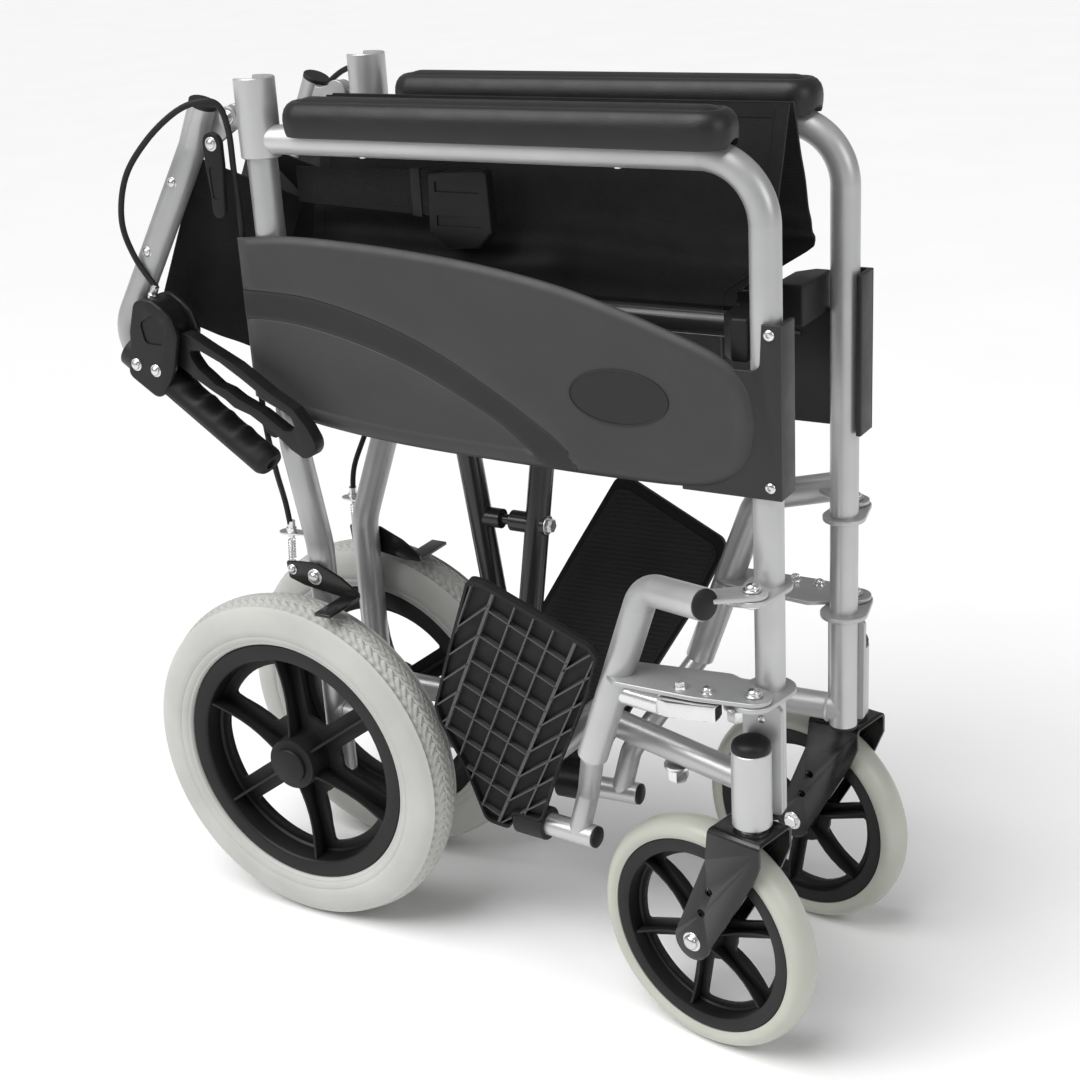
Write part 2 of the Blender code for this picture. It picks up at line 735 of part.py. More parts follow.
def brake_lever(side, s):
    """Hand lever, pivoted in the housing and lying below the grip."""
    y = GRIP_Y * s
    upper = [(0.0506, 0.0240), (0.0700, 0.0270), (0.1000, 0.0310), (0.1300, 0.0300)]
    upper += [(0.1600, 0.0350), (0.1850, 0.0380), (0.2000, 0.0360)]
    lower = [(0.2060, 0.0420), (0.2040, 0.0500), (0.1900, 0.0520), (0.1600, 0.0480)]
    lower += [(0.1300, 0.0430), (0.1000, 0.0430), (0.0700, 0.0390), (0.0506, 0.0360)]
    lever = prism(
        "lever", upper + lower, y - 0.0065, y + 0.0065, lambda a, b, w: handle_point(a, b, w)
    )
    return finish(lever, "brake_lever_" + side, "black_metal", handle_point(*LEVER_PIVOT, y))


def back_flaps(side, s):
    """The back upholstery, creased: an outer flap on the post and an inner one to the middle."""
    low, high = FLAP_Z
    post = Vector((REAR_X, SIDE_Y * s, 0))
    turn = Matrix.Rotation(FLAP_ANGLE * s, 4, "Z")
    crease = post + turn @ Vector((0, -FLAP_WIDTH * s, 0))
    back = Matrix.Rotation(-FLAP_ANGLE * s, 4, "Z")
    half = CLOTH / 2
    for name, start, place, near, far in (
        ("outer", post, turn, 0.0125, FLAP_WIDTH - 0.0035),
        ("inner", crease, back, 0.0035, FLAP_WIDTH - 0.0045),
    ):
        outline = [(near, -half), (far, -half), (far, half), (near, half)]
        flap = prism(
            "flap", outline, low, high,
            lambda y, x, z: start + place @ Vector((x, -y * s, z)),
        )
        fold_down(flap)
        origin = folded_point(start.x, start.y, low)
        finish(flap, "back_" + name + "_" + side, "black_nylon", origin)


def release_lever(side, s):
    """Thumb lever that frees the backrest hinge."""
    x, z = -0.0030, 0.7120
    outline = arc(x, z, 0.0090, 0, 180, 8) + [(x - 0.0080, 0.6700)]
    outline += arc(x - 0.001, 0.6600, 0.0075, 180, 360, 6) + [(x + 0.0080, 0.6700)]
    lever = side_plate("lever", outline, 0.0900 * s, 0.0955 * s)
    return finish(lever, "release_lever_" + side, "black_plastic", (x, 0.092 * s, z))


# ---------------------------------------------------------------- brakes


def brake_arm(side, s):
    """Brake arm on the rear leg. Its shoe plate lies across the tyre."""
    pivot = (0.017, 0.3270)
    outline = [(-0.014, 0.338), (-0.012, 0.322), (0.004, 0.3170), (0.046, 0.3115)]
    outline += [(0.0625, 0.3115), (0.0625, 0.3175), (0.044, 0.3300), (0.020, 0.3400)]
    arm = side_plate("arm", outline, 0.0468 * s, 0.0498 * s)
    shoe = side_plate("shoe", [(0.046, 0.3115), (0.0625, 0.3115), (0.0625, 0.3150),
                               (0.046, 0.3150)], 0.0480 * s, 0.0930 * s)
    join(arm, shoe)
    return finish(arm, "brake_arm_" + side, "black_metal", (pivot[0], 0.0483 * s, pivot[1]))


def brake_cable(side, s):
    """Cable from the hand lever, over the backrest hinge and down the rear post."""
    start = handle_point(0.0120, 0.0625, GRIP_Y)
    rest = [
        (-0.0860, 0.110, 0.620),
        (-0.0928, 0.112, 0.650),
        (-0.0820, 0.112, 0.686),
        (-0.0545, 0.112, 0.716),
        (-0.0250, 0.108, 0.738),
        (-0.0030, 0.102, 0.746),
        (0.0090, 0.0950, 0.742),
        (0.0120, 0.0900, 0.722),
        (0.0085, 0.0850, 0.690),
        (0.0080, 0.0830, 0.640),
        (0.0080, 0.0830, 0.500),
        (0.0040, 0.0720, 0.440),
        (-0.0050, 0.0520, 0.395),
        (-0.0060, 0.0470, 0.366),
    ]
    points = smooth_curve([start] + rest, 3)
    curve = bpy.data.curves.new("cable", "CURVE")
    curve.dimensions = "3D"
    curve.bevel_depth = 0.0025
    curve.bevel_resolution = 2
    curve.use_fill_caps = True
    spline = curve.splines.new("POLY")
    spline.points.add(len(points) - 1)
    for point, target in zip(spline.points, points):
        point.co = (target[0] + X_SHIFT, target[1] * s, target[2], 1)
    cable = bpy.data.objects.new("brake_cable_" + side, curve)
    own = material("black_rubber").copy()
    own.name = "brake_cable_" + side + "_black_rubber"
    curve.materials.append(own)
    bpy.context.scene.collection.objects.link(cable)


# ---------------------------------------------------------------- footrests


def hanger(side, s):
    """Footrest hanger: capped bar, leg, drop tube, footplate pivot and two hinge plates."""
    bx, by, bz = FOOT_PIVOT
    knee = (0.318, 0.1000, 0.240)
    upper = rounded_path(
        [
            (0.436, 0.1346 * s, 0.4038),
            (0.374, 0.1070 * s, 0.3960),
            (knee[0], knee[1] * s, knee[2]),
        ],
        0.026,
        4,
    )
    tube = sweep("tube", upper, HANGER_R, 14)
    lower = rounded_path(
        [
            (0.335, 0.1020 * s, 0.286),
            (knee[0], knee[1] * s, knee[2]),
            (bx + 0.012, by * s, 0.168),
            (bx, by * s, bz),
        ],
        0.016,
        3,
    )
    join(tube, sweep("drop", lower, DROP_R, 12))
    ahead = Vector((math.cos(FOOT_HEADING), math.sin(FOOT_HEADING) * s, 0))
    pivot = Vector((bx, by * s, bz))
    join(tube, cylinder("pivot", pivot - ahead * 0.060, pivot + ahead * 0.017, PIVOT_TUBE_R, 16))
    join(tube, cylinder("stub", (0.342, 0.100 * s, 0.303), (0.386, 0.107 * s, 0.303), 0.0100, 12))
    hinge = (HINGE_X, HINGE_Y * s)
    outline = arc(HINGE_X, HINGE_Y, 0.0142, 90, -90, 6)
    outline += [(0.430, 0.0745), (0.352, 0.0840), (0.336, 0.0940)]
    outline += [(0.336, 0.1100), (0.352, 0.1235), (0.420, 0.1235)]
    plate = flat_plate("plate", [(x, y * s) for x, y in outline],
                       HINGE_LOW_Z + 0.0043, HINGE_LOW_Z + 0.0080)
    outline = link_outline(hinge, 0.0120, (0.432, 0.1270 * s), 0.0100, 6)
    strap = flat_plate("plate", outline, HINGE_TOP_Z + 0.0043, HINGE_TOP_Z + 0.0080)
    for piece in (plate, strap):
        carve(piece, cylinder("bore", (*hinge, 0.28), (*hinge, 0.43), 0.0043, 12))
        join(tube, piece)
    return finish(tube, "footrest_hanger_" + side, "silver_paint", (*hinge, 0.35))


def footplate(side, s):
    """Moulded footplate flipped up beside the leg, with two knuckles round the pivot."""
    pivot = Vector((FOOT_PIVOT[0], FOOT_PIVOT[1] * s, FOOT_PIVOT[2]))
    ahead = Vector((math.cos(FOOT_HEADING), math.sin(FOOT_HEADING) * s, 0))
    out = Vector((-math.sin(FOOT_HEADING), math.cos(FOOT_HEADING) * s, 0))
    up = Vector((0, 0, math.cos(FOOT_LEAN))) + out * math.sin(FOOT_LEAN)
    normal = out * math.cos(FOOT_LEAN) - Vector((0, 0, math.sin(FOOT_LEAN)))
    outline = [(-0.062, 0.0120), (-0.030, 0.0120), (0.008, 0.0900), (0.060, 0.1870)]
    outline += [(0.077, 0.2270), (0.073, 0.2360), (-0.016, 0.2790), (-0.030, 0.2800)]
    outline += [(-0.070, 0.2040), (-0.110, 0.1250), (-0.110, 0.1100), (-0.098, 0.0500)]
    outline += [(-0.094, -0.0080), (-0.067, -0.0100)]
    plate = prism(
        "plate", outline, PLATE_OFFSET - PLATE_HALF, PLATE_OFFSET + PLATE_HALF,
        lambda a, b, w: pivot + ahead * a + up * b + normal * w,
    )
    bore = PIVOT_TUBE_R + GAP
    ring = [(bore, -0.060), (bore + 0.0045, -0.060), (bore + 0.0045, -0.030), (bore, -0.030)]
    join(plate, lathe("knuckle", ring, pivot, ahead, 18))
    return finish(plate, "footplate_" + side, "black_plastic", pivot)


def latch_lever(side, s):
    """Channel-shaped latch lever under the lower hinge plate."""
    outline = [(0.4380, 0.1130 * s), (0.4380, 0.1250 * s), (0.4000, 0.1310 * s)]
    outline += [(0.3900, 0.1280 * s), (0.3920, 0.1180 * s)]
    lever = flat_plate("lever", outline, 0.3045, 0.3172)
    return finish(lever, "latch_lever_" + side, "bright_steel", (0.430, 0.119 * s, 0.311))


def lap_belt():
    """The right half of the lap belt, hanging inside the armrest with its buckle."""
    strap = [(0.0500, 0.690), (0.0500, 0.662), (0.185, 0.656), (0.205, 0.650), (0.215, 0.684)]
    strap += [(0.190, 0.692)]
    belt = side_plate("strap", strap, -0.0590, -0.0568)
    outline = [(0.178, 0.690), (0.176, 0.645), (0.190, 0.632), (0.220, 0.634), (0.232, 0.646)]
    outline += [(0.230, 0.694)]
    buckle = side_plate("buckle", outline, -0.0630, -0.0520)
    join(belt, buckle)
    return finish(belt, "lap_belt_right", "black_plastic", (0.1, -0.058, 0.67))


def build():
    clear_scene()
    for side, s in (("left", 1), ("right", -1)):
        armrest_tube(side, s)
        rear_post(side, s)
        lower_rail(side, s)
        caster_housing(side, s)
        side_panel(side, s)
        armrest_pad(side, s)
        rear_wheel(side, s)
        rear_tyre(side, s)
        caster_parts(side, s)
        seat_rail(side, s)
        seat_sling(side, s)
        back_tube(side, s)
        push_grip(side, s)
        brake_mount(side, s)
        brake_lever(side, s)
        back_flaps(side, s)
        release_lever(side, s)
        brake_arm(side, s)
        brake_cable(side, s)
        hanger(side, s)
        footplate(side, s)
        latch_lever(side, s)
    brace("brace_a", BRACE_A_LOW_X, BRACE_A_TOP_X, 1, [(0.1950, 0.2290, 0.0090)])
    brace("brace_b", BRACE_B_X, BRACE_B_X, -1, [(BRACE_B_X, 0.1850, 0.0085), (0.180, 0.1947, 0.0045)])
    lap_belt()


build()
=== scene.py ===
"""Visual model of the folded transport wheelchair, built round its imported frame.

Metres. +X is the chair's forward, +Y its left and +Z up. Pieces are drawn with x = 0 at the
rear axle, then moved by X_SHIFT onto the frame.
"""

import math

import bmesh
import bpy
import numpy as np
from mathutils import Matrix, Vector, noise


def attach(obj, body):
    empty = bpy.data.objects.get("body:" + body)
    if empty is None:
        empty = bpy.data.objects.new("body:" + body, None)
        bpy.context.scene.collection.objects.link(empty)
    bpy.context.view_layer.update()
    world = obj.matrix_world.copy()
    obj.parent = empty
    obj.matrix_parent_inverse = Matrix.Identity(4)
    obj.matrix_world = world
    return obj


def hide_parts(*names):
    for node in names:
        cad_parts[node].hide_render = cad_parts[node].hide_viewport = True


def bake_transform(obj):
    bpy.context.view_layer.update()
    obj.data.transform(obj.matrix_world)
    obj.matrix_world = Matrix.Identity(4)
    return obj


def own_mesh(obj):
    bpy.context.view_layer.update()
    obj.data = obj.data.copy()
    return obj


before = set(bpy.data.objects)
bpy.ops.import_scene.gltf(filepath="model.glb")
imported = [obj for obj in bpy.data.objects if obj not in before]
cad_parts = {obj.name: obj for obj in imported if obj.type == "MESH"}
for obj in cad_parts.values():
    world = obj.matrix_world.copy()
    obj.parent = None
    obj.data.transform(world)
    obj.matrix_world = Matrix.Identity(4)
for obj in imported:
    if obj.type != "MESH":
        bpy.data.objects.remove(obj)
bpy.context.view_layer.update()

X_SHIFT = -0.17725
GAP = 0.0003

TUBE_R = 0.0115
SIDE_Y = 0.076
ARM_Z = 0.714
ARM_BEND_R = 0.048
POST_X = 0.4615
POST_FOOT_Z = 0.212
REAR_X = 0.0315
REAR_R = 0.0122
SLEEVE_R = 0.0165
SLEEVE_Z = (0.700, 0.762)
LEG_Y = 0.034
LEG_X = 0.014
LEG_TOP_Z = 0.462
LEG_LOW_Z = 0.352
LEG_FOOT_Z = 0.128
RAIL_Z = 0.190
RAIL_Y = 0.036
SEAT_Z = 0.585
SEAT_RAIL_R = 0.0105
SEAT_RAIL_X = (0.062, 0.437)
BRACE_R = 0.0105
BRACE_A_LOW_X = 0.209
BRACE_A_TOP_X = 0.229
BRACE_B_X = 0.163
EYE_LENGTH = 0.026
EYE_WALL = 0.0040
WHEEL_R = 0.157
WHEEL_Y = 0.071
TYRE_HALF = 0.0233
RIM_R = 0.1158
AXLE_R = 0.006
CASTER_R = 0.100
CASTER_X = 0.457
CASTER_Y = 0.1036
CASTER_TRAIL = 0.045
CASTER_YAW = math.radians(-12)
CASTER_TYRE_HALF = 0.0145
CASTER_RIM_R = 0.0842
HOUSING_R = 0.0155
HOUSING_Z = (0.2130, 0.2860)
BACK_PIVOT = (0.0036, 0.7301)
BACK_FOLD = math.radians(154.75)
BACK_CORNER = 0.2139
SADDLE_FLOOR = 0.7295
GRIP_Y = 0.108
GRIP_R = 0.0155
GRIP_SPAN = (0.034, 0.173)
GRIP_TILT = math.radians(8.5)
SLING_HALF = 0.1555
SLING_ANGLE = math.radians(72)
SLING_X = (0.047, 0.450)
SLING_NECK_X = 0.421
CLOTH = 0.0018
FLAP_WIDTH = 0.0968
FLAP_ANGLE = math.radians(-67)
FLAP_Z = (0.778, 0.925)
FLAP_SPANS = {"outer": (0.0050, FLAP_WIDTH - 0.0006), "inner": (0.0006, FLAP_WIDTH - 0.0032)}
HINGE_X = 0.460
HINGE_Y = 0.104
HINGE_LOW_Z = 0.3135
HINGE_TOP_Z = 0.3980
HANGER_R = 0.0125
DROP_R = 0.0095
FOOT_PIVOT = (0.266, 0.0395, 0.124)
FOOT_HEADING = math.radians(4)
FOOT_LEAN = math.radians(17)
PIVOT_TUBE_R = 0.0100
BRACE_MIDDLE_Z = (RAIL_Z + SEAT_Z) / 2
BACK_TOP_Z = BACK_PIVOT[1] + BACK_CORNER
BACK_TUBE_FOOT_Z = SADDLE_FLOOR + 0.0010
BACK_BEND_Z = SLEEVE_Z[1] + 0.008
HINGE_PIN_R = 0.0040
STITCH_R = 0.0005
CABLE_D = 0.005
CABLE_STOP = (-0.0060, 0.0470, 0.366)


# ---------------------------------------------------------------- camera


def make_camera():
    """The photograph's viewpoint, fitted to the wheels, posts and armrests."""
    place = Vector((0.77463, -1.20943, 0.92137))
    turn, rise, roll = (math.radians(a) for a in (31.1594, 21.2013, -3.5036))
    flat = math.cos(rise)
    back = Vector((math.sin(turn) * flat, -math.cos(turn) * flat, math.sin(rise)))
    level = Vector((math.cos(turn), math.sin(turn), 0))
    above = back.cross(level)
    right = level * math.cos(roll) + above * math.sin(roll)
    up = above * math.cos(roll) - level * math.sin(roll)
    data = bpy.data.cameras.new("camera")
    data.lens = 60.10
    data.sensor_width = 36.0
    camera = bpy.data.objects.new("camera", data)
    bpy.context.scene.collection.objects.link(camera)
    camera.matrix_world = Matrix(
        [[right[i], up[i], back[i], place[i]] for i in range(3)] + [[0, 0, 0, 1]]
    )
    bpy.context.scene.camera = camera


make_camera()


# ---------------------------------------------------------------- materials


class Nodes:
    """A small wrapper that adds and links shader nodes."""

    def __init__(self, name):
        self.look = bpy.data.materials.new(name)
        self.look.use_nodes = True
        self.tree = self.look.node_tree
        self.shader = self.tree.nodes["Principled BSDF"]
        self.place = self.add("ShaderNodeTexCoord").outputs["Object"]

    def add(self, kind, **values):
        node = self.tree.nodes.new(kind)
        for key, value in values.items():
            if hasattr(node, key):
                setattr(node, key, value)
            else:
                node.inputs[key.replace("_", " ")].default_value = value
        return node

    def link(self, start, end):
        self.tree.links.new(start, end)

    def noise(self, scale, detail=4.0, rough=0.55):
        node = self.add("ShaderNodeTexNoise", Scale=scale, Detail=detail, Roughness=rough)
        self.link(self.place, node.inputs["Vector"])
        return node.outputs["Fac"]

    def spread(self, value, low, high, start=0.3, end=0.7):
        node = self.add("ShaderNodeMapRange")
        node.inputs["From Min"].default_value = start
        node.inputs["From Max"].default_value = end
        node.inputs["To Min"].default_value = low
        node.inputs["To Max"].default_value = high
        self.link(value, node.inputs["Value"])
        return node.outputs["Result"]

    def blend(self, factor, low, high):
        node = self.add("ShaderNodeMix", data_type="RGBA")
        for socket, value in ((node.inputs[6], low), (node.inputs[7], high)):
            if isinstance(value, tuple):
                socket.default_value = (*value, 1.0)
            else:
                self.link(value, socket)
        self.link(factor, node.inputs[0])
        return node.outputs[2]

    def bump(self, height, depth, below=None):
        node = self.add("ShaderNodeBump")
        node.inputs["Strength"].default_value = 1.0
        node.inputs["Distance"].default_value = depth
        self.link(height, node.inputs["Height"])
        if below is not None:
            self.link(below, node.inputs["Normal"])
        return node.outputs["Normal"]


def set_surface(look, rough, metal=0.0, coat=0.0, sheen=0.0, specular=0.5):
    """Gloss that varies over the surface, and the coat and sheen."""
    shader = look.shader
    shader.inputs["Metallic"].default_value = metal
    shader.inputs["Coat Weight"].default_value = coat
    shader.inputs["Coat Roughness"].default_value = 0.15
    shader.inputs["Sheen Weight"].default_value = sheen
    shader.inputs["Sheen Roughness"].default_value = 0.5
    shader.inputs["Specular IOR Level"].default_value = specular
    varied = look.spread(look.noise(38.0), rough[0], rough[1])
    look.link(varied, shader.inputs["Roughness"])


def mottled(look, scale, dark, light, edge, worn, start):
    """Mottled colour, paler where the edges are worn."""
    colour = look.blend(look.spread(look.noise(scale, 6.0), 0, 1), dark, light)
    if edge:
        pointed = look.add("ShaderNodeNewGeometry").outputs["Pointiness"]
        colour = look.blend(look.spread(pointed, 0.0, worn, start, 0.60), colour, edge)
    look.link(colour, look.shader.inputs["Base Color"])


def grained(name, dark, light, rough, grain, depth, edge=None, **surface):
    """A solid finish: mottled colour, worn edges, uneven gloss and a fine grain."""
    look = Nodes(name)
    mottled(look, 14.0, dark, light, edge, 0.6, 0.52)
    set_surface(look, rough, **surface)
    fine = look.bump(look.noise(grain, 2.0), depth)
    wide = look.bump(look.noise(90.0, 2.0), depth * 2.0, fine)
    look.link(wide, look.shader.inputs["Normal"])
    return name, look.look


def moulded(name, dark, light, rough, pitch, depth, edge=None, **surface):
    """Moulded plastic or skinned foam with a pebbled grain."""
    look = Nodes(name)
    mottled(look, 9.0, dark, light, edge, 0.7, 0.51)
    set_surface(look, rough, **surface)
    cells = look.add("ShaderNodeTexVoronoi", Scale=pitch)
    look.link(look.place, cells.inputs["Vector"])
    grain = look.bump(cells.outputs["Distance"], depth)
    look.link(look.bump(look.noise(60.0, 3.0), depth * 3.0, grain), look.shader.inputs["Normal"])
    return name, look.look


def woven(name, dark, light, yarn):
    """Plain-weave nylon: two sets of yarns with a painted highlight where they cross, a soft sheen
    and faded folds.
    """
    look = Nodes(name)
    bands = []
    for direction in ("X", "Z"):
        wave = look.add("ShaderNodeTexWave", wave_type="BANDS", bands_direction=direction)
        wave.inputs["Scale"].default_value = 0.314 / yarn
        wave.inputs["Distortion"].default_value = 0.6
        wave.inputs["Detail Scale"].default_value = 20.0
        look.link(look.place, wave.inputs["Vector"])
        bands.append(wave.outputs["Fac"])
    weave = look.add("ShaderNodeMath", operation="MULTIPLY")
    look.link(bands[0], weave.inputs[0])
    look.link(bands[1], weave.inputs[1])
    base = look.blend(look.spread(look.noise(11.0, 6.0), 0, 1), dark, light)
    # Painted highlight: where both yarn bands peak, the colour is blended towards 1.5 times the
    # light tone, standing for light caught on the yarn crests.
    colour = look.blend(look.spread(weave.outputs[0], 0.0, 0.45, 0.3, 1.0), base,
                        tuple(c * 1.5 for c in light))
    look.link(colour, look.shader.inputs["Base Color"])
    set_surface(look, (0.62, 0.82), sheen=0.06, specular=0.2)
    fine = look.bump(weave.outputs[0], yarn * 0.3)
    look.link(look.bump(look.noise(26.0, 4.0), 0.0012, fine), look.shader.inputs["Normal"])
    return name, look.look


def make_looks():
    """Every finish by its name. The colours run from a dark to a light patch, then a worn edge."""
    return dict((
        grained("silver_paint", (0.40, 0.402, 0.405), (0.46, 0.462, 0.465), (0.30, 0.42),
                1500.0, 0.00003, (0.72, 0.72, 0.72), metal=0.55),
        grained("black_metal", (0.003, 0.003, 0.0032), (0.006, 0.006, 0.0062), (0.16, 0.26),
                900.0, 0.00003, (0.045, 0.045, 0.047), coat=0.08, specular=0.4),
        grained("bright_steel", (0.62, 0.62, 0.63), (0.76, 0.76, 0.77), (0.18, 0.32),
                1800.0, 0.00002, (0.85, 0.85, 0.85), metal=1.0),
        moulded("charcoal_plastic", (0.027, 0.027, 0.0285), (0.032, 0.032, 0.0335), (0.46, 0.56),
                1500.0, 0.00004, (0.065, 0.065, 0.067)),
        moulded("black_plastic", (0.0045, 0.0045, 0.0048), (0.008, 0.008, 0.0083), (0.40, 0.52),
                1300.0, 0.00003, (0.026, 0.026, 0.027), specular=0.25),
        moulded("rib_plastic", (0.022, 0.022, 0.0225), (0.030, 0.030, 0.0305), (0.45, 0.6),
                1300.0, 0.00003, (0.08, 0.08, 0.082)),
        moulded("band_plastic", (0.016, 0.016, 0.0165), (0.021, 0.021, 0.0215), (0.55, 0.66),
                1500.0, 0.00005, (0.04, 0.04, 0.04), specular=0.35),
        moulded("strip_plastic", (0.010, 0.010, 0.0105), (0.014, 0.014, 0.0145), (0.42, 0.54),
                1500.0, 0.00004, (0.035, 0.035, 0.036), specular=0.4),
        # Painted shade: a far darker copy of the footplate's moulded plastic, for its skin and rim
        # wall, standing for the shade in the hollows between the paler ribs.
        moulded("painted_shade_plastic", (0.002, 0.002, 0.0021), (0.004, 0.004, 0.0041), (0.55, 0.70),
                1300.0, 0.00003, (0.02, 0.02, 0.02), specular=0.2),
        moulded("lever_plastic", (0.007, 0.007, 0.0073), (0.010, 0.010, 0.0104), (0.32, 0.44),
                1500.0, 0.00003, (0.04, 0.04, 0.041), specular=0.28),
        moulded("black_rubber", (0.006, 0.006, 0.006), (0.011, 0.011, 0.011), (0.48, 0.62),
                1100.0, 0.00006, (0.03, 0.03, 0.03), specular=0.28),
        moulded("arm_foam", (0.007, 0.007, 0.007), (0.011, 0.011, 0.011), (0.34, 0.46),
                850.0, 0.00007, (0.028, 0.028, 0.028), specular=0.38),
        grained("grey_rubber", (0.44, 0.44, 0.42), (0.52, 0.52, 0.495), (0.52, 0.68),
                1200.0, 0.00004, (0.60, 0.60, 0.58)),
        grained("grey_polyurethane", (0.43, 0.44, 0.385), (0.48, 0.49, 0.43), (0.28, 0.40),
                700.0, 0.00002),
        woven("black_nylon", (0.0050, 0.0050, 0.0055), (0.009, 0.009, 0.010), 0.0011),
        woven("webbing", (0.007, 0.007, 0.0075), (0.012, 0.012, 0.013), 0.0016),
    ))


LOOKS = make_looks()


# ---------------------------------------------------------------- mesh helpers


def mesh_object(name, verts, faces):
    mesh = bpy.data.meshes.new(name)
    mesh.from_pydata([tuple(v) for v in verts], [], faces)
    work = bmesh.new()
    work.from_mesh(mesh)
    bmesh.ops.recalc_face_normals(work, faces=work.faces)
    work.to_mesh(mesh)
    work.free()
    obj = bpy.data.objects.new(name, mesh)
    bpy.context.scene.collection.objects.link(obj)
    return obj


def rounded_path(corners, radius, steps=14):
    """The corners joined by straight runs, with an arc at each inner corner."""
    points = [Vector(corners[0])]
    for before, here, after in zip(corners, corners[1:], corners[2:]):
        here = Vector(here)
        into = (here - Vector(before)).normalized()
        out = (Vector(after) - here).normalized()
        turn = into.angle(out)
        if turn < 0.02:
            points.append(here)
            continue
        reach = radius * math.tan(turn / 2)
        start = here - into * reach
        side = (out - into * into.dot(out)).normalized()
        centre = start + side * radius
        for i in range(steps + 1):
            a = turn * i / steps
            points.append(centre - side * radius * math.cos(a) + into * radius * math.sin(a))
    points.append(Vector(corners[-1]))
    return points


def tube_faces(rings, sides):
    """The faces of a tube whose vertices are laid ring by ring, with both ends closed."""
    faces = []
    for i in range(rings - 1):
        for k in range(sides):
            n = (k + 1) % sides
            faces.append((i * sides + k, i * sides + n, (i + 1) * sides + n, (i + 1) * sides + k))
    faces.append(tuple(range(sides)))
    faces.append(tuple(range((rings - 1) * sides, rings * sides)))
    return faces


def sweep(points, radius, sides=36):
    """A round bar along the points. The radius may be one value, or one for each point."""
    points = [Vector(p) for p in points]
    radii = radius if isinstance(radius, (list, tuple)) else [radius] * len(points)
    tangents = []
    for i in range(len(points)):
        ahead = points[min(i + 1, len(points) - 1)] - points[i]
        behind = points[i] - points[max(i - 1, 0)]
        tangents.append((ahead.normalized() + behind.normalized()).normalized())
    up = Vector((0, 1, 0)) if abs(tangents[0].y) < 0.9 else Vector((0, 0, 1))
    normal = (up - tangents[0] * up.dot(tangents[0])).normalized()
    verts = []
    for i, (point, tangent) in enumerate(zip(points, tangents)):
        if i:
            normal = tangents[i - 1].rotation_difference(tangent) @ normal
        normal = (normal - tangent * normal.dot(tangent)).normalized()
        side = tangent.cross(normal)
        for k in range(sides):
            a = 2 * math.pi * k / sides
            verts.append(point + (normal * math.cos(a) + side * math.sin(a)) * radii[i])
    return mesh_object("sweep", verts, tube_faces(len(points), sides))


def slab_faces(rows, across):
    """The faces of a closed slab whose vertices are a grid for one side, then for the other."""
    count = rows * across
    faces = []
    for i in range(rows - 1):
        for k in range(across - 1):
            a, b = i * across + k, (i + 1) * across + k
            faces.append((a, b, b + 1, a + 1))
            faces.append((count + a, count + a + 1, count + b + 1, count + b))
        for k in (0, across - 1):
            a, b = i * across + k, (i + 1) * across + k
            faces.append((a, count + a, count + b, b))
    for i in (0, rows - 1):
        for k in range(across - 1):
            a = i * across + k
            faces.append((a, a + 1, count + a + 1, count + a))
    return faces


def lathe(profile, origin, axis, sides=64, bite=None):
    """A closed profile of (radius, height) turned about an axis. bite lowers a point's radius."""
    axis = Vector(axis).normalized()
    first = axis.orthogonal().normalized()
    second = axis.cross(first)
    origin = Vector(origin)
    verts = []
    rings = []
    for radius, height in profile:
        start = len(verts)
        if radius == 0:
            verts.append(origin + axis * height)
            rings.append([start] * sides)
            continue
        for k in range(sides):
            a = 2 * math.pi * k / sides
            out = first * math.cos(a) + second * math.sin(a)
            here = radius - (bite(a, height) if bite else 0)
            verts.append(origin + axis * height + out * here)
        rings.append(list(range(start, start + sides)))
    faces = []
    for here, there in zip(rings, rings[1:] + rings[:1]):
        if here[0] == here[1] and there[0] == there[1]:
            continue
        for k in range(sides):
            n = (k + 1) % sides
            corner = [here[k], here[n], there[n], there[k]]
            faces.append(tuple(v for i, v in enumerate(corner) if v not in corner[:i]))
    return mesh_object("lathe", verts, faces)


def cylinder(start, end, radius, sides=28):
    return sweep([start, end], radius, sides)


def prism(outline, low, high, to_world):
    """A flat outline given thickness. to_world(u, v, w) places each point."""
    n = len(outline)
    verts = [to_world(u, v, low) for u, v in outline]
    verts += [to_world(u, v, high) for u, v in outline]
    faces = [tuple(range(n)), tuple(range(n, 2 * n))]
    for i in range(n):
        j = (i + 1) % n
        faces.append((i, j, n + j, n + i))
    return mesh_object("prism", verts, faces)


def side_plate(outline, y_low, y_high):
    return prism(outline, y_low, y_high, lambda x, z, y: (x, y, z))


def flat_plate(outline, z_low, z_high):
    return prism(outline, z_low, z_high, lambda x, y, z: (x, y, z))


def box(low, high):
    corners = [(low[0], low[1]), (high[0], low[1]), (high[0], high[1]), (low[0], high[1])]
    return flat_plate(corners, low[2], high[2])


def side_box(xs, ys, zs, s):
    """A box on one side of the chair. The two ys are the left side's, and s mirrors them."""
    near, far = sorted(y * s for y in ys)
    return box((xs[0], near, zs[0]), (xs[1], far, zs[1]))


def turned(inner, outer, low, high, edge):
    """The profile of a turned rod or ring, with its outer edges chamfered."""
    return [(inner, low), (outer - edge, low), (outer, low + edge),
            (outer, high - edge), (outer - edge, high), (inner, high)]


def ellipse(cx, cy, rx, ry, count=64):
    turns = [2 * math.pi * i / count for i in range(count)]
    return [(cx + rx * math.cos(a), cy + ry * math.sin(a)) for a in turns]


def arc(cx, cy, radius, start, end, steps):
    """Points on an arc, with the angles in degrees."""
    turns = [math.radians(start + (end - start) * i / steps) for i in range(steps + 1)]
    return [(cx + radius * math.cos(a), cy + radius * math.sin(a)) for a in turns]


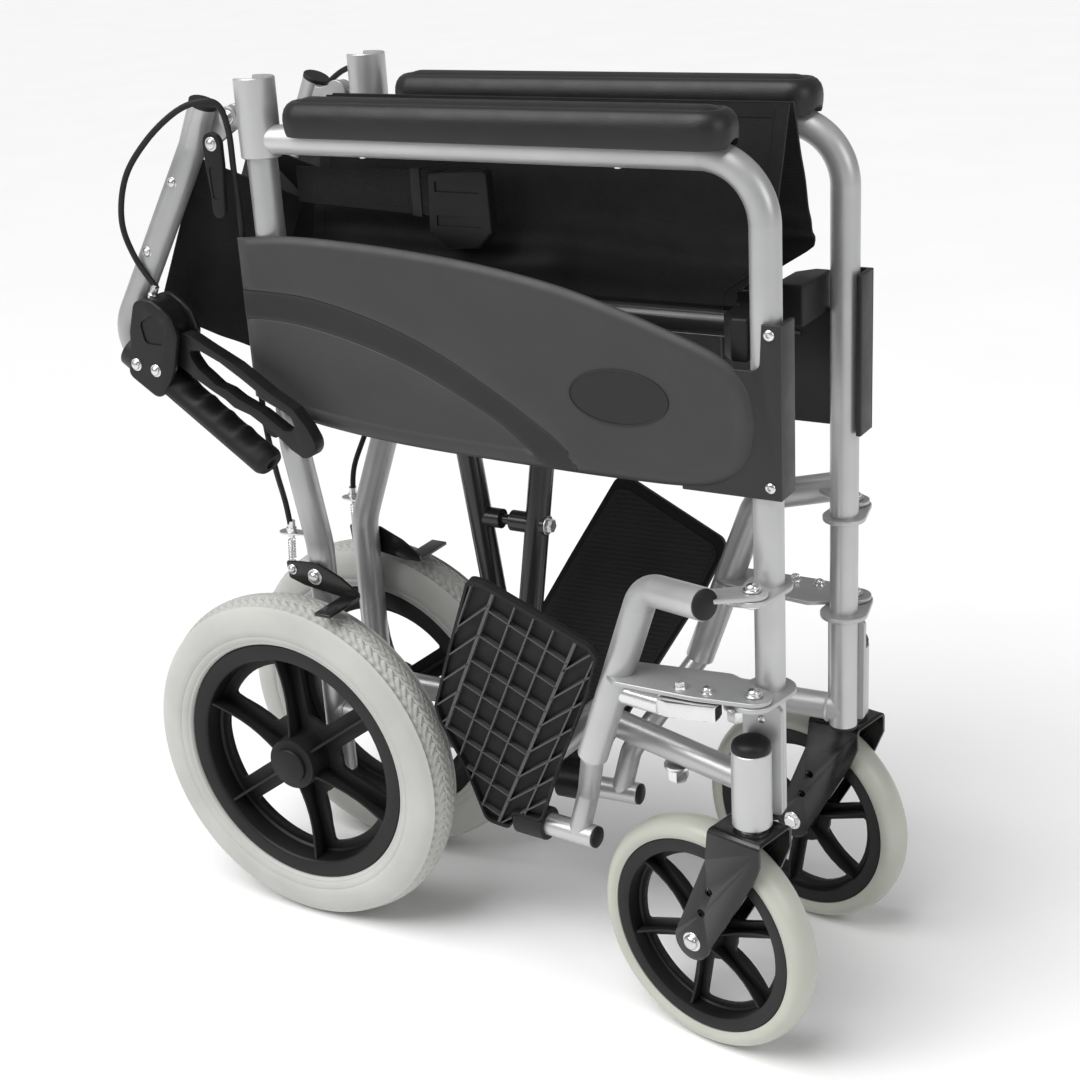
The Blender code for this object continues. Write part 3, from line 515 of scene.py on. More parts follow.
def link_outline(a, ra, b, rb, steps=20):
    """The outline of a strap with a round end about each of two centres."""
    heading = math.degrees(math.atan2(b[1] - a[1], b[0] - a[0]))
    far = math.hypot(b[0] - a[0], b[1] - a[1])
    tilt = math.degrees(math.asin((ra - rb) / far))
    points = arc(a[0], a[1], ra, heading + 90 - tilt, heading + 270 + tilt, steps)
    return points + arc(b[0], b[1], rb, heading - 90 + tilt, heading + 90 - tilt, steps)


def round_corners(outline, radius, steps=6):
    """The closed outline with every corner turned into an arc, as large as the sides allow."""
    out = []
    n = len(outline)
    for i in range(n):
        before, here, after = (Vector(outline[(i + k) % n]) for k in (-1, 0, 1))
        into = here - before
        leave = after - here
        turn = abs(into.angle_signed(leave, 0))
        if turn < 0.05:
            out.append(tuple(here))
            continue
        reach = min(radius * math.tan(turn / 2), into.length * 0.48, leave.length * 0.48)
        start = here - into.normalized() * reach
        end = here + leave.normalized() * reach
        for k in range(steps + 1):
            t = k / steps
            out.append(tuple(start * (1 - t) ** 2 + here * 2 * t * (1 - t) + end * t * t))
    return out


def settle(obj):
    """The object with its modifiers applied."""
    graph = bpy.context.evaluated_depsgraph_get()
    graph.update()
    done = bpy.data.meshes.new_from_object(obj.evaluated_get(graph))
    obj.modifiers.clear()
    obj.data = done
    return obj


def combine(obj, other, operation):
    """Applies one EXACT Boolean and removes the other object."""
    cut = obj.modifiers.new("cut", "BOOLEAN")
    cut.operation = operation
    cut.solver = "EXACT"
    cut.object = other
    settle(obj)
    bpy.data.objects.remove(other)
    return obj


def join(obj, *others):
    for other in others:
        combine(obj, other, "UNION")
    return obj


def carve(obj, *others):
    for other in others:
        combine(obj, other, "DIFFERENCE")
    return obj


def soften(obj, width, segments=3, angle=35):
    """Bevels the edges that are sharper than the angle, in degrees."""
    edge = obj.modifiers.new("edge", "BEVEL")
    edge.width = width
    edge.segments = segments
    edge.limit_method = "ANGLE"
    edge.angle_limit = math.radians(angle)
    edge.harden_normals = False
    return settle(obj)


def group(*objs):
    """The closed bodies of several objects in one mesh, without joining their surfaces."""
    work = bmesh.new()
    for obj in objs:
        work.from_mesh(obj.data)
    work.to_mesh(objs[0].data)
    work.free()
    for obj in objs[1:]:
        bpy.data.objects.remove(obj)
    return objs[0]


def turn_about(obj, point, axis, angle):
    place = Matrix.Translation(Vector(point))
    obj.data.transform(place @ Matrix.Rotation(angle, 4, Vector(axis)) @ place.inverted())
    return obj


def put(obj, name, look, body, *nodes, crease=38):
    """Names, shades and places the piece, gives it its finish, and ties it to its body."""
    obj.name = name + "_shape" if name in nodes else name
    obj.data.name = obj.name
    obj.data.materials.clear()
    obj.data.materials.append(LOOKS[look])
    work = bmesh.new()
    work.from_mesh(obj.data)
    bmesh.ops.remove_doubles(work, verts=work.verts, dist=1e-6)
    bmesh.ops.dissolve_degenerate(work, edges=work.edges, dist=1e-6)
    bmesh.ops.recalc_face_normals(work, faces=work.faces)
    for face in work.faces:
        face.smooth = True
        face.material_index = 0
    for edge in work.edges:
        sharp = len(edge.link_faces) == 2 and edge.calc_face_angle(0) > math.radians(crease)
        edge.smooth = not sharp
    work.to_mesh(obj.data)
    work.free()
    obj.data.transform(Matrix.Translation((X_SHIFT, 0, 0)))
    if body:
        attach(obj, body)
    if nodes:
        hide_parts(*nodes)
    return obj


def smooth_curve(points, steps):
    """Points on a smooth curve through the given ones."""
    points = [Vector(p) for p in points]
    out = []
    for i in range(len(points) - 1):
        before = points[max(i - 1, 0)]
        start, end = points[i], points[i + 1]
        after = points[min(i + 2, len(points) - 1)]
        for k in range(steps):
            t = k / steps
            out.append(0.5 * (2 * start + (end - before) * t
                              + (2 * before - 5 * start + 4 * end - after) * t * t
                              + (3 * start - before - 3 * end + after) * t * t * t))
    out.append(points[-1])
    return out


def bolt(centre, axis, radius, height, kind="dome", washer=True):
    """A bolt head on a surface: a domed or hexagonal head, with a washer under it."""
    parts = []
    base = 0.0
    if washer:
        base = height * 0.22
        ring = [(0, -0.0004), (radius * 1.35, -0.0004), (radius * 1.35, base * 0.6),
                (radius * 1.28, base), (0, base)]
        parts.append(lathe(ring, centre, axis, 28))
    if kind == "dome":
        profile = [(0, base - 0.0002), (radius, base - 0.0002), (radius, base + height * 0.25)]
        for i in range(1, 7):
            a = math.radians(90 * i / 6)
            profile.append((radius * math.cos(a) if i < 6 else 0,
                            base + height * (0.25 + 0.75 * math.sin(a))))
        parts.append(lathe(profile, centre, axis, 28))
    else:
        head = lathe([(0, base - 0.0002), (radius, base - 0.0002), (radius, base + height * 0.8),
                      (radius * 0.86, base + height), (0, base + height)], centre, axis, 6)
        parts.append(head)
    return group(*parts)


def screw(centre, axis, radius, height):
    """A recessed pan-head screw."""
    head = bolt(centre, axis, radius, height, "dome", False)
    axis = Vector(axis).normalized()
    top = Vector(centre) + axis * height * 1.2
    cutter = lathe([(0, -height * 0.9), (radius * 0.45, -height * 0.9), (radius * 0.45, 0.002),
                    (0, 0.002)], top, axis, 6)
    return carve(head, cutter)


# ---------------------------------------------------------------- side frames


def side_frame(side, s):
    """Armrest and front post in one bent tube, with its foot plug and the pad's screws."""
    body = "frame_" + side
    y = SIDE_Y * s
    path = rounded_path([(0.040, y, ARM_Z), (POST_X, y, ARM_Z), (POST_X, y, POST_FOOT_Z)],
                        ARM_BEND_R, 20)
    tube = sweep(path, TUBE_R, 40)
    carve(tube, cylinder((REAR_X, y, 0.69), (REAR_X, y, 0.77), SLEEVE_R + GAP, 48))
    put(tube, "armrest_tube_" + side, "silver_paint", body, "armrest_tube_" + side)
    foot = lathe([(0, -0.004), (0.0098, -0.004), (0.0116, -0.0025), (0.0116, 0.0),
                  (0.0095, 0.0008), (0, 0.0008)], (POST_X, y, POST_FOOT_Z), (0, 0, -1), 36)
    put(foot, "front_post_plug_" + side, "black_plastic", body)
    footrest_hinge(side, s)
    rivets = [screw((x, y, ARM_Z - TUBE_R + 0.0006), (0, 0, -1), 0.0036, 0.0018)
              for x in (0.130, 0.350)]
    put(group(*rivets), "pad_screws_" + side, "bright_steel", body)


def footrest_hinge(side, s):
    """The two brackets on the front post that carry the footrest, and their pins."""
    body = "frame_" + side
    thick = 0.0040
    hinge = (HINGE_X, HINGE_Y * s)
    brackets, pins = [], []
    for low, eye_r in ((HINGE_TOP_Z, 0.0135), (HINGE_LOW_Z, 0.0155)):
        outline = link_outline((POST_X, SIDE_Y * s), eye_r + thick, hinge, eye_r)
        brackets.append(soften(flat_plate(outline, low, low + thick), 0.0008))
        pins.append(cylinder((*hinge, low), (*hinge, low + 0.0100), HINGE_PIN_R))
        pins.append(bolt((*hinge, low + 0.0090), (0, 0, 1), 0.0052, 0.0045))
        pins.append(bolt((*hinge, low), (0, 0, -1), 0.0058, 0.0040, "hex"))
    put(group(*brackets), "footrest_brackets_" + side, "silver_paint", body)
    put(group(*pins), "footrest_hinge_pins_" + side, "bright_steel", body)


def rear_post(side, s):
    """Rear post: an inward-bent leg, a saddle sleeve round the armrest tube and a hinge lug."""
    body = "frame_" + side
    y = SIDE_Y * s
    foot, top = SLEEVE_Z
    path = rounded_path([(REAR_X, y, foot + 0.004), (REAR_X, y, LEG_TOP_Z),
                         (LEG_X, LEG_Y * s, LEG_LOW_Z), (LEG_X, LEG_Y * s, LEG_FOOT_Z)], 0.05, 12)
    post = sweep(path, REAR_R, 40)
    join(post, lathe(turned(0, SLEEVE_R, foot, top, 0.0008), (REAR_X, y, 0), (0, 0, 1), 48))
    hole = TUBE_R + 2 * GAP
    slot = [(0.0, y - hole), (REAR_X, y - hole)] + arc(REAR_X, y, hole, -90, 90, 24)[1:]
    slot += [(0.0, y + hole)]
    carve(post, flat_plate(slot, SADDLE_FLOOR, top + 0.01))
    x, z = BACK_PIVOT
    lug_y = 0.0795 * s
    outline = [(0.022, z - 0.0090), (0.022, z - 0.0025), (0.0165, z - 0.0015)]
    outline += arc(x, z, 0.0090, 10, 270, 20)
    join(post, soften(side_plate(outline, 0.0716 * s, lug_y), 0.0006))
    put(post, "rear_post_" + side, "silver_paint", body, "rear_post_" + side)
    plug = lathe([(0, -0.004), (0.0100, -0.004), (0.0123, -0.002), (0.0123, 0.0), (0, 0.001)],
                 (LEG_X, LEG_Y * s, LEG_FOOT_Z), (0, 0, -1), 36)
    put(plug, "rear_post_plug_" + side, "black_plastic", body)
    rear_axle(side, s)
    pin = bolt((x, lug_y, z), (0, s, 0), 0.0044, 0.0030)
    put(pin, "back_hinge_bolt_" + side, "bright_steel", body)


def rear_axle(side, s):
    """The welded boss, the axle through it and the nut on its inner end."""
    body = "frame_" + side
    centre = (0, 0, WHEEL_R)
    boss = lathe(turned(0, 0.0120, 0.024, 0.0465, 0.0008), centre, (0, s, 0), 36)
    put(boss, "axle_boss_" + side, "silver_paint", body)
    axle = lathe([(0, 0.030), (AXLE_R, 0.030), (AXLE_R, 0.0880), (0, 0.0880)], centre,
                 (0, s, 0), 28)
    nut = bolt((0, 0.0245 * s, WHEEL_R), (0, -s, 0), 0.0085, 0.0065, "hex")
    put(group(axle, nut), "rear_axle_" + side, "bright_steel", body)


def lower_rail(side, s):
    """The cranked side rail between the posts, with its weld beads and bolt."""
    body = "frame_" + side
    y = RAIL_Y * s
    path = rounded_path([(POST_X, SIDE_Y * s, 0.2285), (0.292, 0.0405 * s, 0.2425),
                         (0.236, y, RAIL_Z), (0.100, y, RAIL_Z), (LEG_X, LEG_Y * s, RAIL_Z)],
                        0.024, 10)
    rail = sweep(path, TUBE_R, 40)
    put(rail, "lower_rail_" + side, "silver_paint", body, "lower_rail_" + side)
    bead = ellipse(TUBE_R, 0, 0.0014, 0.0014, 8)
    beads = [lathe(bead, centre, (1, 0, 0), 48)
             for centre in ((LEG_X + REAR_R, LEG_Y * s, RAIL_Z),
                            (POST_X - TUBE_R, 0.0735 * s, 0.2290))]
    put(group(*beads), "rail_weld_beads_" + side, "silver_paint", body)
    nut = bolt((0.372, 0.0570 * s, 0.2225), (0, 0, -1), 0.0085, 0.0120, "hex")
    put(nut, "rail_bolt_" + side, "bright_steel", body)


def caster_housing(side, s):
    """The swivel bearing's housing, its cap and the bracket that ties it to the post."""
    body = "frame_" + side
    low, high = HOUSING_Z
    base = (CASTER_X, CASTER_Y * s, 0)
    profile = [(0.0090, low), (HOUSING_R - 0.0006, low), (HOUSING_R, low + 0.0006),
               (HOUSING_R, high - 0.0106), (HOUSING_R - 0.0006, high - 0.0100),
               (0.0130, high - 0.0100), (0.0130, low + 0.052), (0.0090, low + 0.052)]
    put(lathe(profile, base, (0, 0, 1), 56), "caster_housing_" + side, "silver_paint", body,
        "caster_housing_" + side)
    cap = [(0, high - 0.018), (0.0126, high - 0.018), (0.0126, high - 0.0098),
           (0.0150, high - 0.0096), (0.0151, high - 0.0065), (0.0141, high - 0.0035),
           (0.0110, high - 0.0012), (0.0060, high - 0.0002), (0, high)]
    put(lathe(cap, base, (0, 0, 1), 48), "caster_cap_" + side, "black_plastic", body)
    y_in, y_out = 0.0850, 0.0900
    plate = [(0.4440, 0.216), (0.4760, 0.216), (0.4760, 0.304), (0.4690, 0.312), (0.4530, 0.312),
             (0.4440, 0.304)]
    gusset = soften(side_plate(round_corners(plate, 0.004), y_in * s, y_out * s), 0.0006)
    webs = [side_box((x, x + 0.0025), (y_in, 0.0940), (0.2200, 0.2750), s)
            for x in (0.4480, 0.4640)]
    put(group(gusset, *webs), "caster_bracket_" + side, "silver_paint", body)
    head = screw((0.4600, y_out * s, 0.2960), (0, s, 0), 0.0030, 0.0022)
    put(head, "caster_bracket_screw_" + side, "bright_steel", body)


# ---------------------------------------------------------------- skirt panel


PANEL_TOP = [(0.0085, 0.6370), (0.060, 0.6405), (0.120, 0.639), (0.180, 0.635), (0.240, 0.6285),
             (0.300, 0.618), (0.350, 0.6045), (0.400, 0.588), (0.4284, 0.5768), (0.445, 0.5650),
             (0.4545, 0.5507), (0.4590, 0.5285)]
PANEL_BOTTOM = [(0.0085, 0.5045), (0.052, 0.4895), (0.150, 0.4785), (0.288, 0.4745),
                (0.3650, 0.4740), (0.4049, 0.4752), (0.426, 0.4790), (0.4435, 0.4885),
                (0.4550, 0.5060), (0.4590, 0.5275)]
BAND_TOP = [(0.0, 0.5955), (0.0651, 0.5940), (0.1113, 0.5862), (0.1559, 0.5739), (0.1989, 0.5566),
            (0.2406, 0.5344), (0.2778, 0.5121), (0.3033, 0.4941), (0.3250, 0.4700), (0.46, 0.36)]
BAND_LOW = [(0.0, 0.5710), (0.0443, 0.5710), (0.0833, 0.5663), (0.1249, 0.5572), (0.1652, 0.5448),
            (0.2044, 0.5283), (0.2427, 0.5095), (0.2613, 0.4970), (0.2889, 0.4740), (0.46, 0.33)]
PANEL_X = (0.0085, 0.4590)
PANEL_BACK_Y = 0.0890
PANEL_EDGE_Y = 0.0905
BAND_DEPTH = 0.0013
BADGE = (0.351, 0.538)
LIP = 0.0150
LIP_SHARES = (0.04, 0.10, 0.18, 0.30, 0.45, 0.60, 0.8, 0.9)


def height_at(curve, x):
    return float(np.interp(x, [p[0] for p in curve], [p[1] for p in curve]))


def fair(points, steps=6):
    """The points of a curve z(x) made smooth."""
    return [(p.x, p.z) for p in smooth_curve([(x, 0, z) for x, z in points], steps)]


RIM_TOP = fair(PANEL_TOP)
RIM_LOW = fair(PANEL_BOTTOM)
BAND_EDGES = (fair(BAND_LOW), fair(BAND_TOP))
RIM = np.array(RIM_TOP + RIM_LOW[::-1])
RIM_NEXT = np.roll(RIM, -1, axis=0)


def band_cuts(x):
    """The lower and upper edges of the inlaid band at x."""
    return [height_at(curve, x) for curve in BAND_EDGES]


def panel_face(x, z):
    """How far out the panel's outer face stands: a soft lip, a flat field and two steps."""
    here = np.array((x, z))
    along = RIM_NEXT - RIM
    span = np.maximum((along ** 2).sum(1), 1e-12)
    t = np.clip(((here - RIM) * along).sum(1) / span, 0, 1)
    far = np.sqrt((((RIM + along * t[:, None]) - here) ** 2).sum(1)).min()
    far = min(far, x - PANEL_X[0] + 0.004) if x < PANEL_X[0] + 0.02 else far
    y = PANEL_EDGE_Y + 0.0043 * math.sin(min(far / 0.0065, 1) * math.pi / 2) ** 0.8
    inside = ease((far - 0.0095) / 0.0065)
    y -= 0.0012 * inside
    low, high = band_cuts(x)
    if low < z < high:
        y -= BAND_DEPTH * min(1, far / 0.006)
    if z < low:
        y -= BAND_DEPTH * 0.45 * inside
    return y


def panel_shell(s):
    """The crowned outer face, with rows of points laid along the lip and the band's edges."""
    start, end = PANEL_X
    step = 0.0003
    count = 150
    stations = [start + (end - start) * math.sin(math.pi / 2 * (i / count)) ** 0.9
                for i in range(count + 1)]
    rows = []
    for x in stations:
        zb, zt = height_at(RIM_LOW, x), height_at(RIM_TOP, x)
        zt = max(zt, zb + 0.0006)
        inner = min(LIP, (zt - zb) / 2)
        lows, highs = zb + inner, zt - inner
        cuts = [min(max(z, zb + 0.001), highs) for z in band_cuts(x)]
        cuts = [min(c, zt) for c in cuts]
        marks = [zb + inner * t for t in (0, *LIP_SHARES)]
        middle = max(cuts[0], lows)
        marks += [lows + (middle - lows) * t for t in (0, 0.3, 0.6)]
        marks += [cuts[0] - step, cuts[0] + step]
        marks += [cuts[0] + (cuts[1] - cuts[0]) * t for t in (0.3, 0.7)]
        marks += [cuts[1] - step, cuts[1] + step]
        middle = max(cuts[1], lows)
        marks += [middle + (highs - middle) * t for t in (0.12, 0.25, 0.4, 0.55, 0.7, 0.85, 1)]
        marks += [zt - inner * t for t in (0, *LIP_SHARES)]
        marks = sorted(min(max(z, zb), zt) for z in marks)
        rows.append([(x, z) for z in marks])
    return relief(rows, s, PANEL_BACK_Y)


def relief(rows, s, back, lift=0.0):
    """A closed slab whose front follows the panel's face and whose back is flat."""
    verts = [(x, (panel_face(x, z) + lift) * s, z) for row in rows for x, z in row]
    verts += [(x, back * s, z) for row in rows for x, z in row]
    return mesh_object("relief", verts, slab_faces(len(rows), len(rows[0])))


def panel_band(s):
    """The dark inlay that lies in the recess and sweeps down to the panel's lower edge."""
    rows = []
    for x in steps_between(PANEL_X[0] + 0.0004, 0.3130, 110):
        low, high = band_cuts(x)
        floor = height_at(RIM_LOW, x) + 0.0012
        low, high = max(low + 0.0006, floor), max(high - 0.0006, floor + 0.0004)
        rows.append([(x, low + (high - low) * k / 8) for k in range(9)])
    return relief(rows, s, PANEL_BACK_Y + 0.0006, 0.00035)


def side_panel(side, s):
    """The skirt panel with its inlay, front strip, screws, blank badge and ribs behind."""
    body = "frame_" + side
    put(panel_shell(s), "side_panel_" + side, "charcoal_plastic", body, "side_panel_" + side,
        crease=50)
    put(panel_band(s), "side_panel_band_" + side, "band_plastic", body, crease=50)
    low, high, front = 0.4725, 0.6015, 0.4788
    base = [(0.400, low), (front, low), (front, high), (0.4640, high)]
    base += [(0.4625, 0.5750)] + arc(0.4560, 0.5740, 0.0065, 0, -90, 6)[1:] + [(0.400, 0.5675)]
    plate = soften(side_plate(base, 0.0888 * s, 0.0915 * s), 0.0009)
    wrap = soften(side_box((0.4742, front), (0.0660, 0.0900), (low, high), s), 0.0012)
    put(group(plate, wrap), "side_panel_strip_" + side, "strip_plastic", body)
    heads = [screw((0.4700, 0.0914 * s, z), (0, s, 0), 0.0042, 0.0024) for z in (0.5940, 0.4820)]
    put(group(*heads), "side_panel_screws_" + side, "bright_steel", body)
    badge = soften(side_plate(ellipse(*BADGE, 0.0413, 0.0215), 0.0925 * s, 0.0947 * s), 0.0005, 2)
    carve(badge, side_plate(ellipse(*BADGE, 0.0398, 0.0200), 0.0942 * s, 0.0960 * s))
    put(badge, "blank_badge_" + side, "strip_plastic", body)
    thick, depth = 0.0022, (0.0872, 0.0895)
    ribs = [side_box((x, x + thick), depth, (0.500, 0.600), s)
            for x in (0.080, 0.170, 0.260, 0.350)]
    ribs.append(side_box((0.030, 0.420), depth, (0.545, 0.545 + thick), s))
    put(group(*ribs), "side_panel_ribs_" + side, "charcoal_plastic", body)


# ---------------------------------------------------------------- armrest pad


def rounded_box_ring(cx, cy, hx, hy, radius, z, steps=12):
    """One level outline of a box with round corners."""
    radius = max(min(radius, hx - 0.0001, hy - 0.0001), 0.0004)
    points = []
    for sx, sy, start in ((1, 1, 0), (-1, 1, 90), (-1, -1, 180), (1, -1, 270)):
        for i in range(steps + 1):
            a = math.radians(start + 90 * i / steps)
            points.append((cx + sx * (hx - radius) + radius * math.cos(a),
                           cy + sy * (hy - radius) + radius * math.sin(a), z))
    return points


def armrest_pad(side, s):
    """A moulded pad: bulging sides, a rolled shoulder, a groove all round and a crowned top."""
    low, high = (0.064, 0.0545), (0.441, 0.1000)
    cx, cy = (low[0] + high[0]) / 2, (low[1] + high[1]) / 2 * s
    hx, hy = (high[0] - low[0]) / 2, (high[1] - low[1]) / 2
    foot = ARM_Z + 0.0048
    profile = [(0.0040, foot), (0.0016, foot + 0.0006), (0.0008, foot + 0.0030),
               (0.0002, foot + 0.0080), (0.0000, foot + 0.0130), (0.0004, foot + 0.0170),
               (0.0016, foot + 0.0210), (0.0038, foot + 0.0243), (0.0066, foot + 0.0262),
               (0.0090, foot + 0.0266), (0.0104, foot + 0.0262), (0.0113, foot + 0.0255),
               (0.0122, foot + 0.0262), (0.0138, foot + 0.0272), (0.0165, foot + 0.0281),
               (0.0195, foot + 0.0287), (0.0215, foot + 0.0289), (0.0225, foot + 0.0290)]
    rings = [rounded_box_ring(cx, cy, hx - inset, hy - inset, 0.0200 - inset * 0.55, z)
             for inset, z in profile]
    pad = mesh_object("pad", [p for ring in rings for p in ring],
                      tube_faces(len(rings), len(rings[0])))
    carve(pad, cylinder((0, SIDE_Y * s, ARM_Z), (0.5, SIDE_Y * s, ARM_Z), TUBE_R + 0.0001, 48))
    put(pad, "armrest_pad_" + side, "arm_foam", "frame_" + side, "armrest_pad_" + side)


# ---------------------------------------------------------------- wheels


def window_outline(inner, outer, spoke, middle, radius):
    """A rounded window between two spokes, centred on an angle in degrees."""
    wide = 180 / 6
    half_in = wide - math.degrees(math.asin(min(spoke / inner, 0.9)))
    half_out = wide - math.degrees(math.asin(spoke / outer))
    corners = arc(0, 0, outer, middle - half_out, middle + half_out, 8)
    corners += arc(0, 0, inner, middle + half_in, middle - half_in, 2)
    return round_corners(corners, radius)


def fin(inner, outer, low, high_in, high_out, angle, thickness, s):
    """A thin rib along a spoke, standing out of the wheel's plane, with a hollow outer edge."""
    outline = [(inner, low), (outer, low), (outer, high_out)]
    outline += [(outer + (inner - outer) * t, high_out + (high_in - high_out) * t
                 - 0.0055 * math.sin(math.pi * t)) for t in (0.12, 0.25, 0.4, 0.55, 0.7, 0.85)]
    outline += [(inner, high_in)]
    plate = prism(outline, -thickness / 2, thickness / 2, lambda r, w, t: (r, w * s, t))
    soften(plate, thickness * 0.22, 2)
    return turn_about(plate, (0, 0, 0), (0, 1, 0), math.radians(angle))


def wheel_core(rim, spokes, hub, s):
    """Rim, hub and six T-shaped spokes, centred on the origin with the axle along Y."""
    core = lathe([(r, h * s) for r, h in rim], (0, 0, 0), (0, 1, 0), 120)
    inner, outer, half, low, high = spokes["window"]
    for i in range(6):
        outline = window_outline(inner, outer, half, 60 * i + 30 + spokes["turn"], spokes["round"])
        carve(core, side_plate(outline, low * 3 - 0.02, high * 3 + 0.02))
    parts = [core, lathe([(r, h * s) for r, h in hub], (0, 0, 0), (0, 1, 0), 72)]
    for i in range(6):
        parts.append(fin(*spokes["fin"], 60 * i - spokes["turn"], spokes["thick"], s))
        parts.append(fin(spokes["fin"][0], spokes["fin"][1], -spokes["fin"][2], -spokes["back"],
                         -spokes["back"] * 1.1, 60 * i - spokes["turn"], spokes["thick"], s))
    return group(*parts)


def tread(a, w):
    """How deep the tyre's pattern cuts at an angle and a distance from its middle."""
    wide = abs(w)
    if wide > 0.0172:
        return 0.0
    if 0.0050 < wide < 0.0064 or 0.0112 < wide < 0.0122:
        return 0.0011
    pitch = a * 104 / (2 * math.pi)
    if wide < 0.0050:
        phase = pitch + wide / 0.0052
        return 0.0014 if phase % 1 < 0.30 else 0.0
    if wide < 0.0112:
        phase = pitch + 0.5 - (wide - 0.0064) / 0.0065
        return 0.0016 if phase % 1 < 0.32 else 0.0
    return 0.0022 if (pitch + 0.3) % 1 < 0.42 else 0.0


def rear_wheel(side, s):
    """A moulded wheel with six T-shaped spokes, and its grey tyre."""
    body = "rear_wheel_" + side
    rim = [(0.0235, -0.0060), (0.0940, -0.0060), (0.0968, -0.0080), (0.0985, -0.0165),
           (0.1005, -0.0175), (RIM_R - 0.0012, -0.0175), (RIM_R, -0.0163), (RIM_R, 0.0163),
           (RIM_R - 0.0012, 0.0175), (0.1024, 0.0175), (0.1008, 0.0168), (0.0998, 0.0150),
           (0.0985, -0.0005), (0.0965, -0.0022), (0.0235, -0.0022)]
    hub = [(AXLE_R + GAP, -0.0210), (0.0212, -0.0210), (0.0220, -0.0202), (0.0228, -0.004),
           (0.0262, -0.0020), (0.0250, 0.0040), (0.0243, 0.0190), (0.0236, 0.0208),
           (0.0222, 0.0215), (0.0172, 0.0215), (0.0168, 0.0218), (0.0166, 0.0246),
           (0.0160, 0.0255), (0.0150, 0.0259), (0.0, 0.0262), (0.0, 0.0190),
           (AXLE_R + GAP, 0.0190)]
    spokes = {"window": (0.0400, 0.0895, 0.0115, -0.006, 0.006), "round": 0.014, "turn": 36.0,
              "fin": (0.0215, 0.0995, -0.0040, 0.0175, 0.0150), "thick": 0.0024, "back": 0.0130}
    centre = (0, WHEEL_Y * s, WHEEL_R)
    wheel = wheel_core(rim, spokes, hub, s)
    wheel.data.transform(Matrix.Translation(centre))
    put(wheel, "rear_wheel_" + side, "black_plastic", body, "rear_wheel_" + side)
    tyre = lathe(rear_tyre_profile(), centre, (0, 1, 0), 520, tread)
    put(tyre, "rear_tyre_" + side, "grey_rubber", body, "rear_tyre_" + side, crease=50)


def rear_tyre_profile():
    """The tyre's section: the wall from the rim outwards, then a round crown, mirrored."""
    wall = [(RIM_R + GAP, 0.0178), (0.1172, 0.0196), (0.1184, 0.0204), (0.1192, 0.0202),
            (0.1200, 0.0209), (0.1250, 0.0229), (0.1256, 0.0226), (0.1262, 0.0232),
            (0.1320, TYRE_HALF), (0.1380, 0.0231), (0.1430, 0.0222), (0.1470, 0.0206),
            (0.1500, 0.0188), (0.1518, 0.0174)]
    crown = (0.0171, 0.0160, 0.0145, 0.0132, 0.0123, 0.0121, 0.0113, 0.0111, 0.0095, 0.0080,
             0.0065, 0.0063, 0.0051, 0.0049, 0.0034, 0.0018, 0.0)
    crown_r = 0.0180
    crown_centre = WHEEL_R - crown_r
    half = wall + [(crown_centre + math.sqrt(max(crown_r ** 2 - (w * 0.96) ** 2, 0)), w)
                   for w in crown]
    return [(r, -w) for r, w in half] + [(r, w) for r, w in reversed(half[:-1])]


def caster_fork(x, y, axle_x):
    """A pressed fork: a bent channel cut to the shape of its arms, with two holes in each."""
    arm = [(x + 0.021, 0.2100), (x - 0.027, 0.2100), (x - 0.030, 0.180)]
    arm += arc(axle_x, CASTER_R, 0.0165, 165, 345, 24)
    arm += [(x + 0.012, 0.168), (x + 0.021, 0.190)]
    half, wall, bend, top, foot = 0.0218, 0.0030, 0.0060, 0.2095, 0.06
    outer = [(-half, foot)] + arc(-half + bend, top - bend, bend, 180, 90, 8)
    outer += arc(half - bend, top - bend, bend, 90, 0, 8) + [(half, foot)]
    inner = [(half - wall, foot)] + arc(half - bend, top - bend, bend - wall, 0, 90, 8)
    inner += arc(-half + bend, top - bend, bend - wall, 90, 180, 8) + [(-half + wall, foot)]
    fork = prism(outer + inner, x - 0.09, x + 0.05, lambda v, z, u: (u, y + v, z))
    combine(fork, side_plate(round_corners(arm, 0.004), y - 0.03, y + 0.03), "INTERSECT")
    for hole_x, hole_z in ((axle_x + 0.010, 0.130), (axle_x + 0.018, 0.152)):
        carve(fork, cylinder((hole_x, y - 0.03, hole_z), (hole_x, y + 0.03, hole_z), 0.0036, 20))
    return soften(fork, 0.0005, 2, 50)


def caster_steel(x, y, axle_x, s):
    """Swivel stem and bearing race, and the wheel's axle with its spacers and heads."""
    centre = (axle_x, y, CASTER_R)
    stem = cylinder((x, y, 0.2085), (x, y, 0.258), 0.0082, 28)
    race = lathe([(0, 0.2090), (0.0125, 0.2090), (0.0132, 0.2100), (0.0132, 0.2122),
                  (0.0125, 0.2128), (0, 0.2128)], (x, y, 0), (0, 0, 1), 36)
    axle = cylinder((axle_x, y - 0.0215, CASTER_R), (axle_x, y + 0.0215, CASTER_R), 0.0040)
    spacers = [lathe([(0.0042, 0.0172), (0.0075, 0.0172), (0.0075, 0.0187), (0.0042, 0.0187)],
                     centre, (0, way, 0), 24) for way in (-1, 1)]
    heads = [bolt((axle_x, y + 0.0217 * way, CASTER_R), (0, way, 0), 0.0062, 0.0045,
                  "dome" if way == s else "hex") for way in (-1, 1)]
    return group(stem, race, axle, *heads, *spacers)


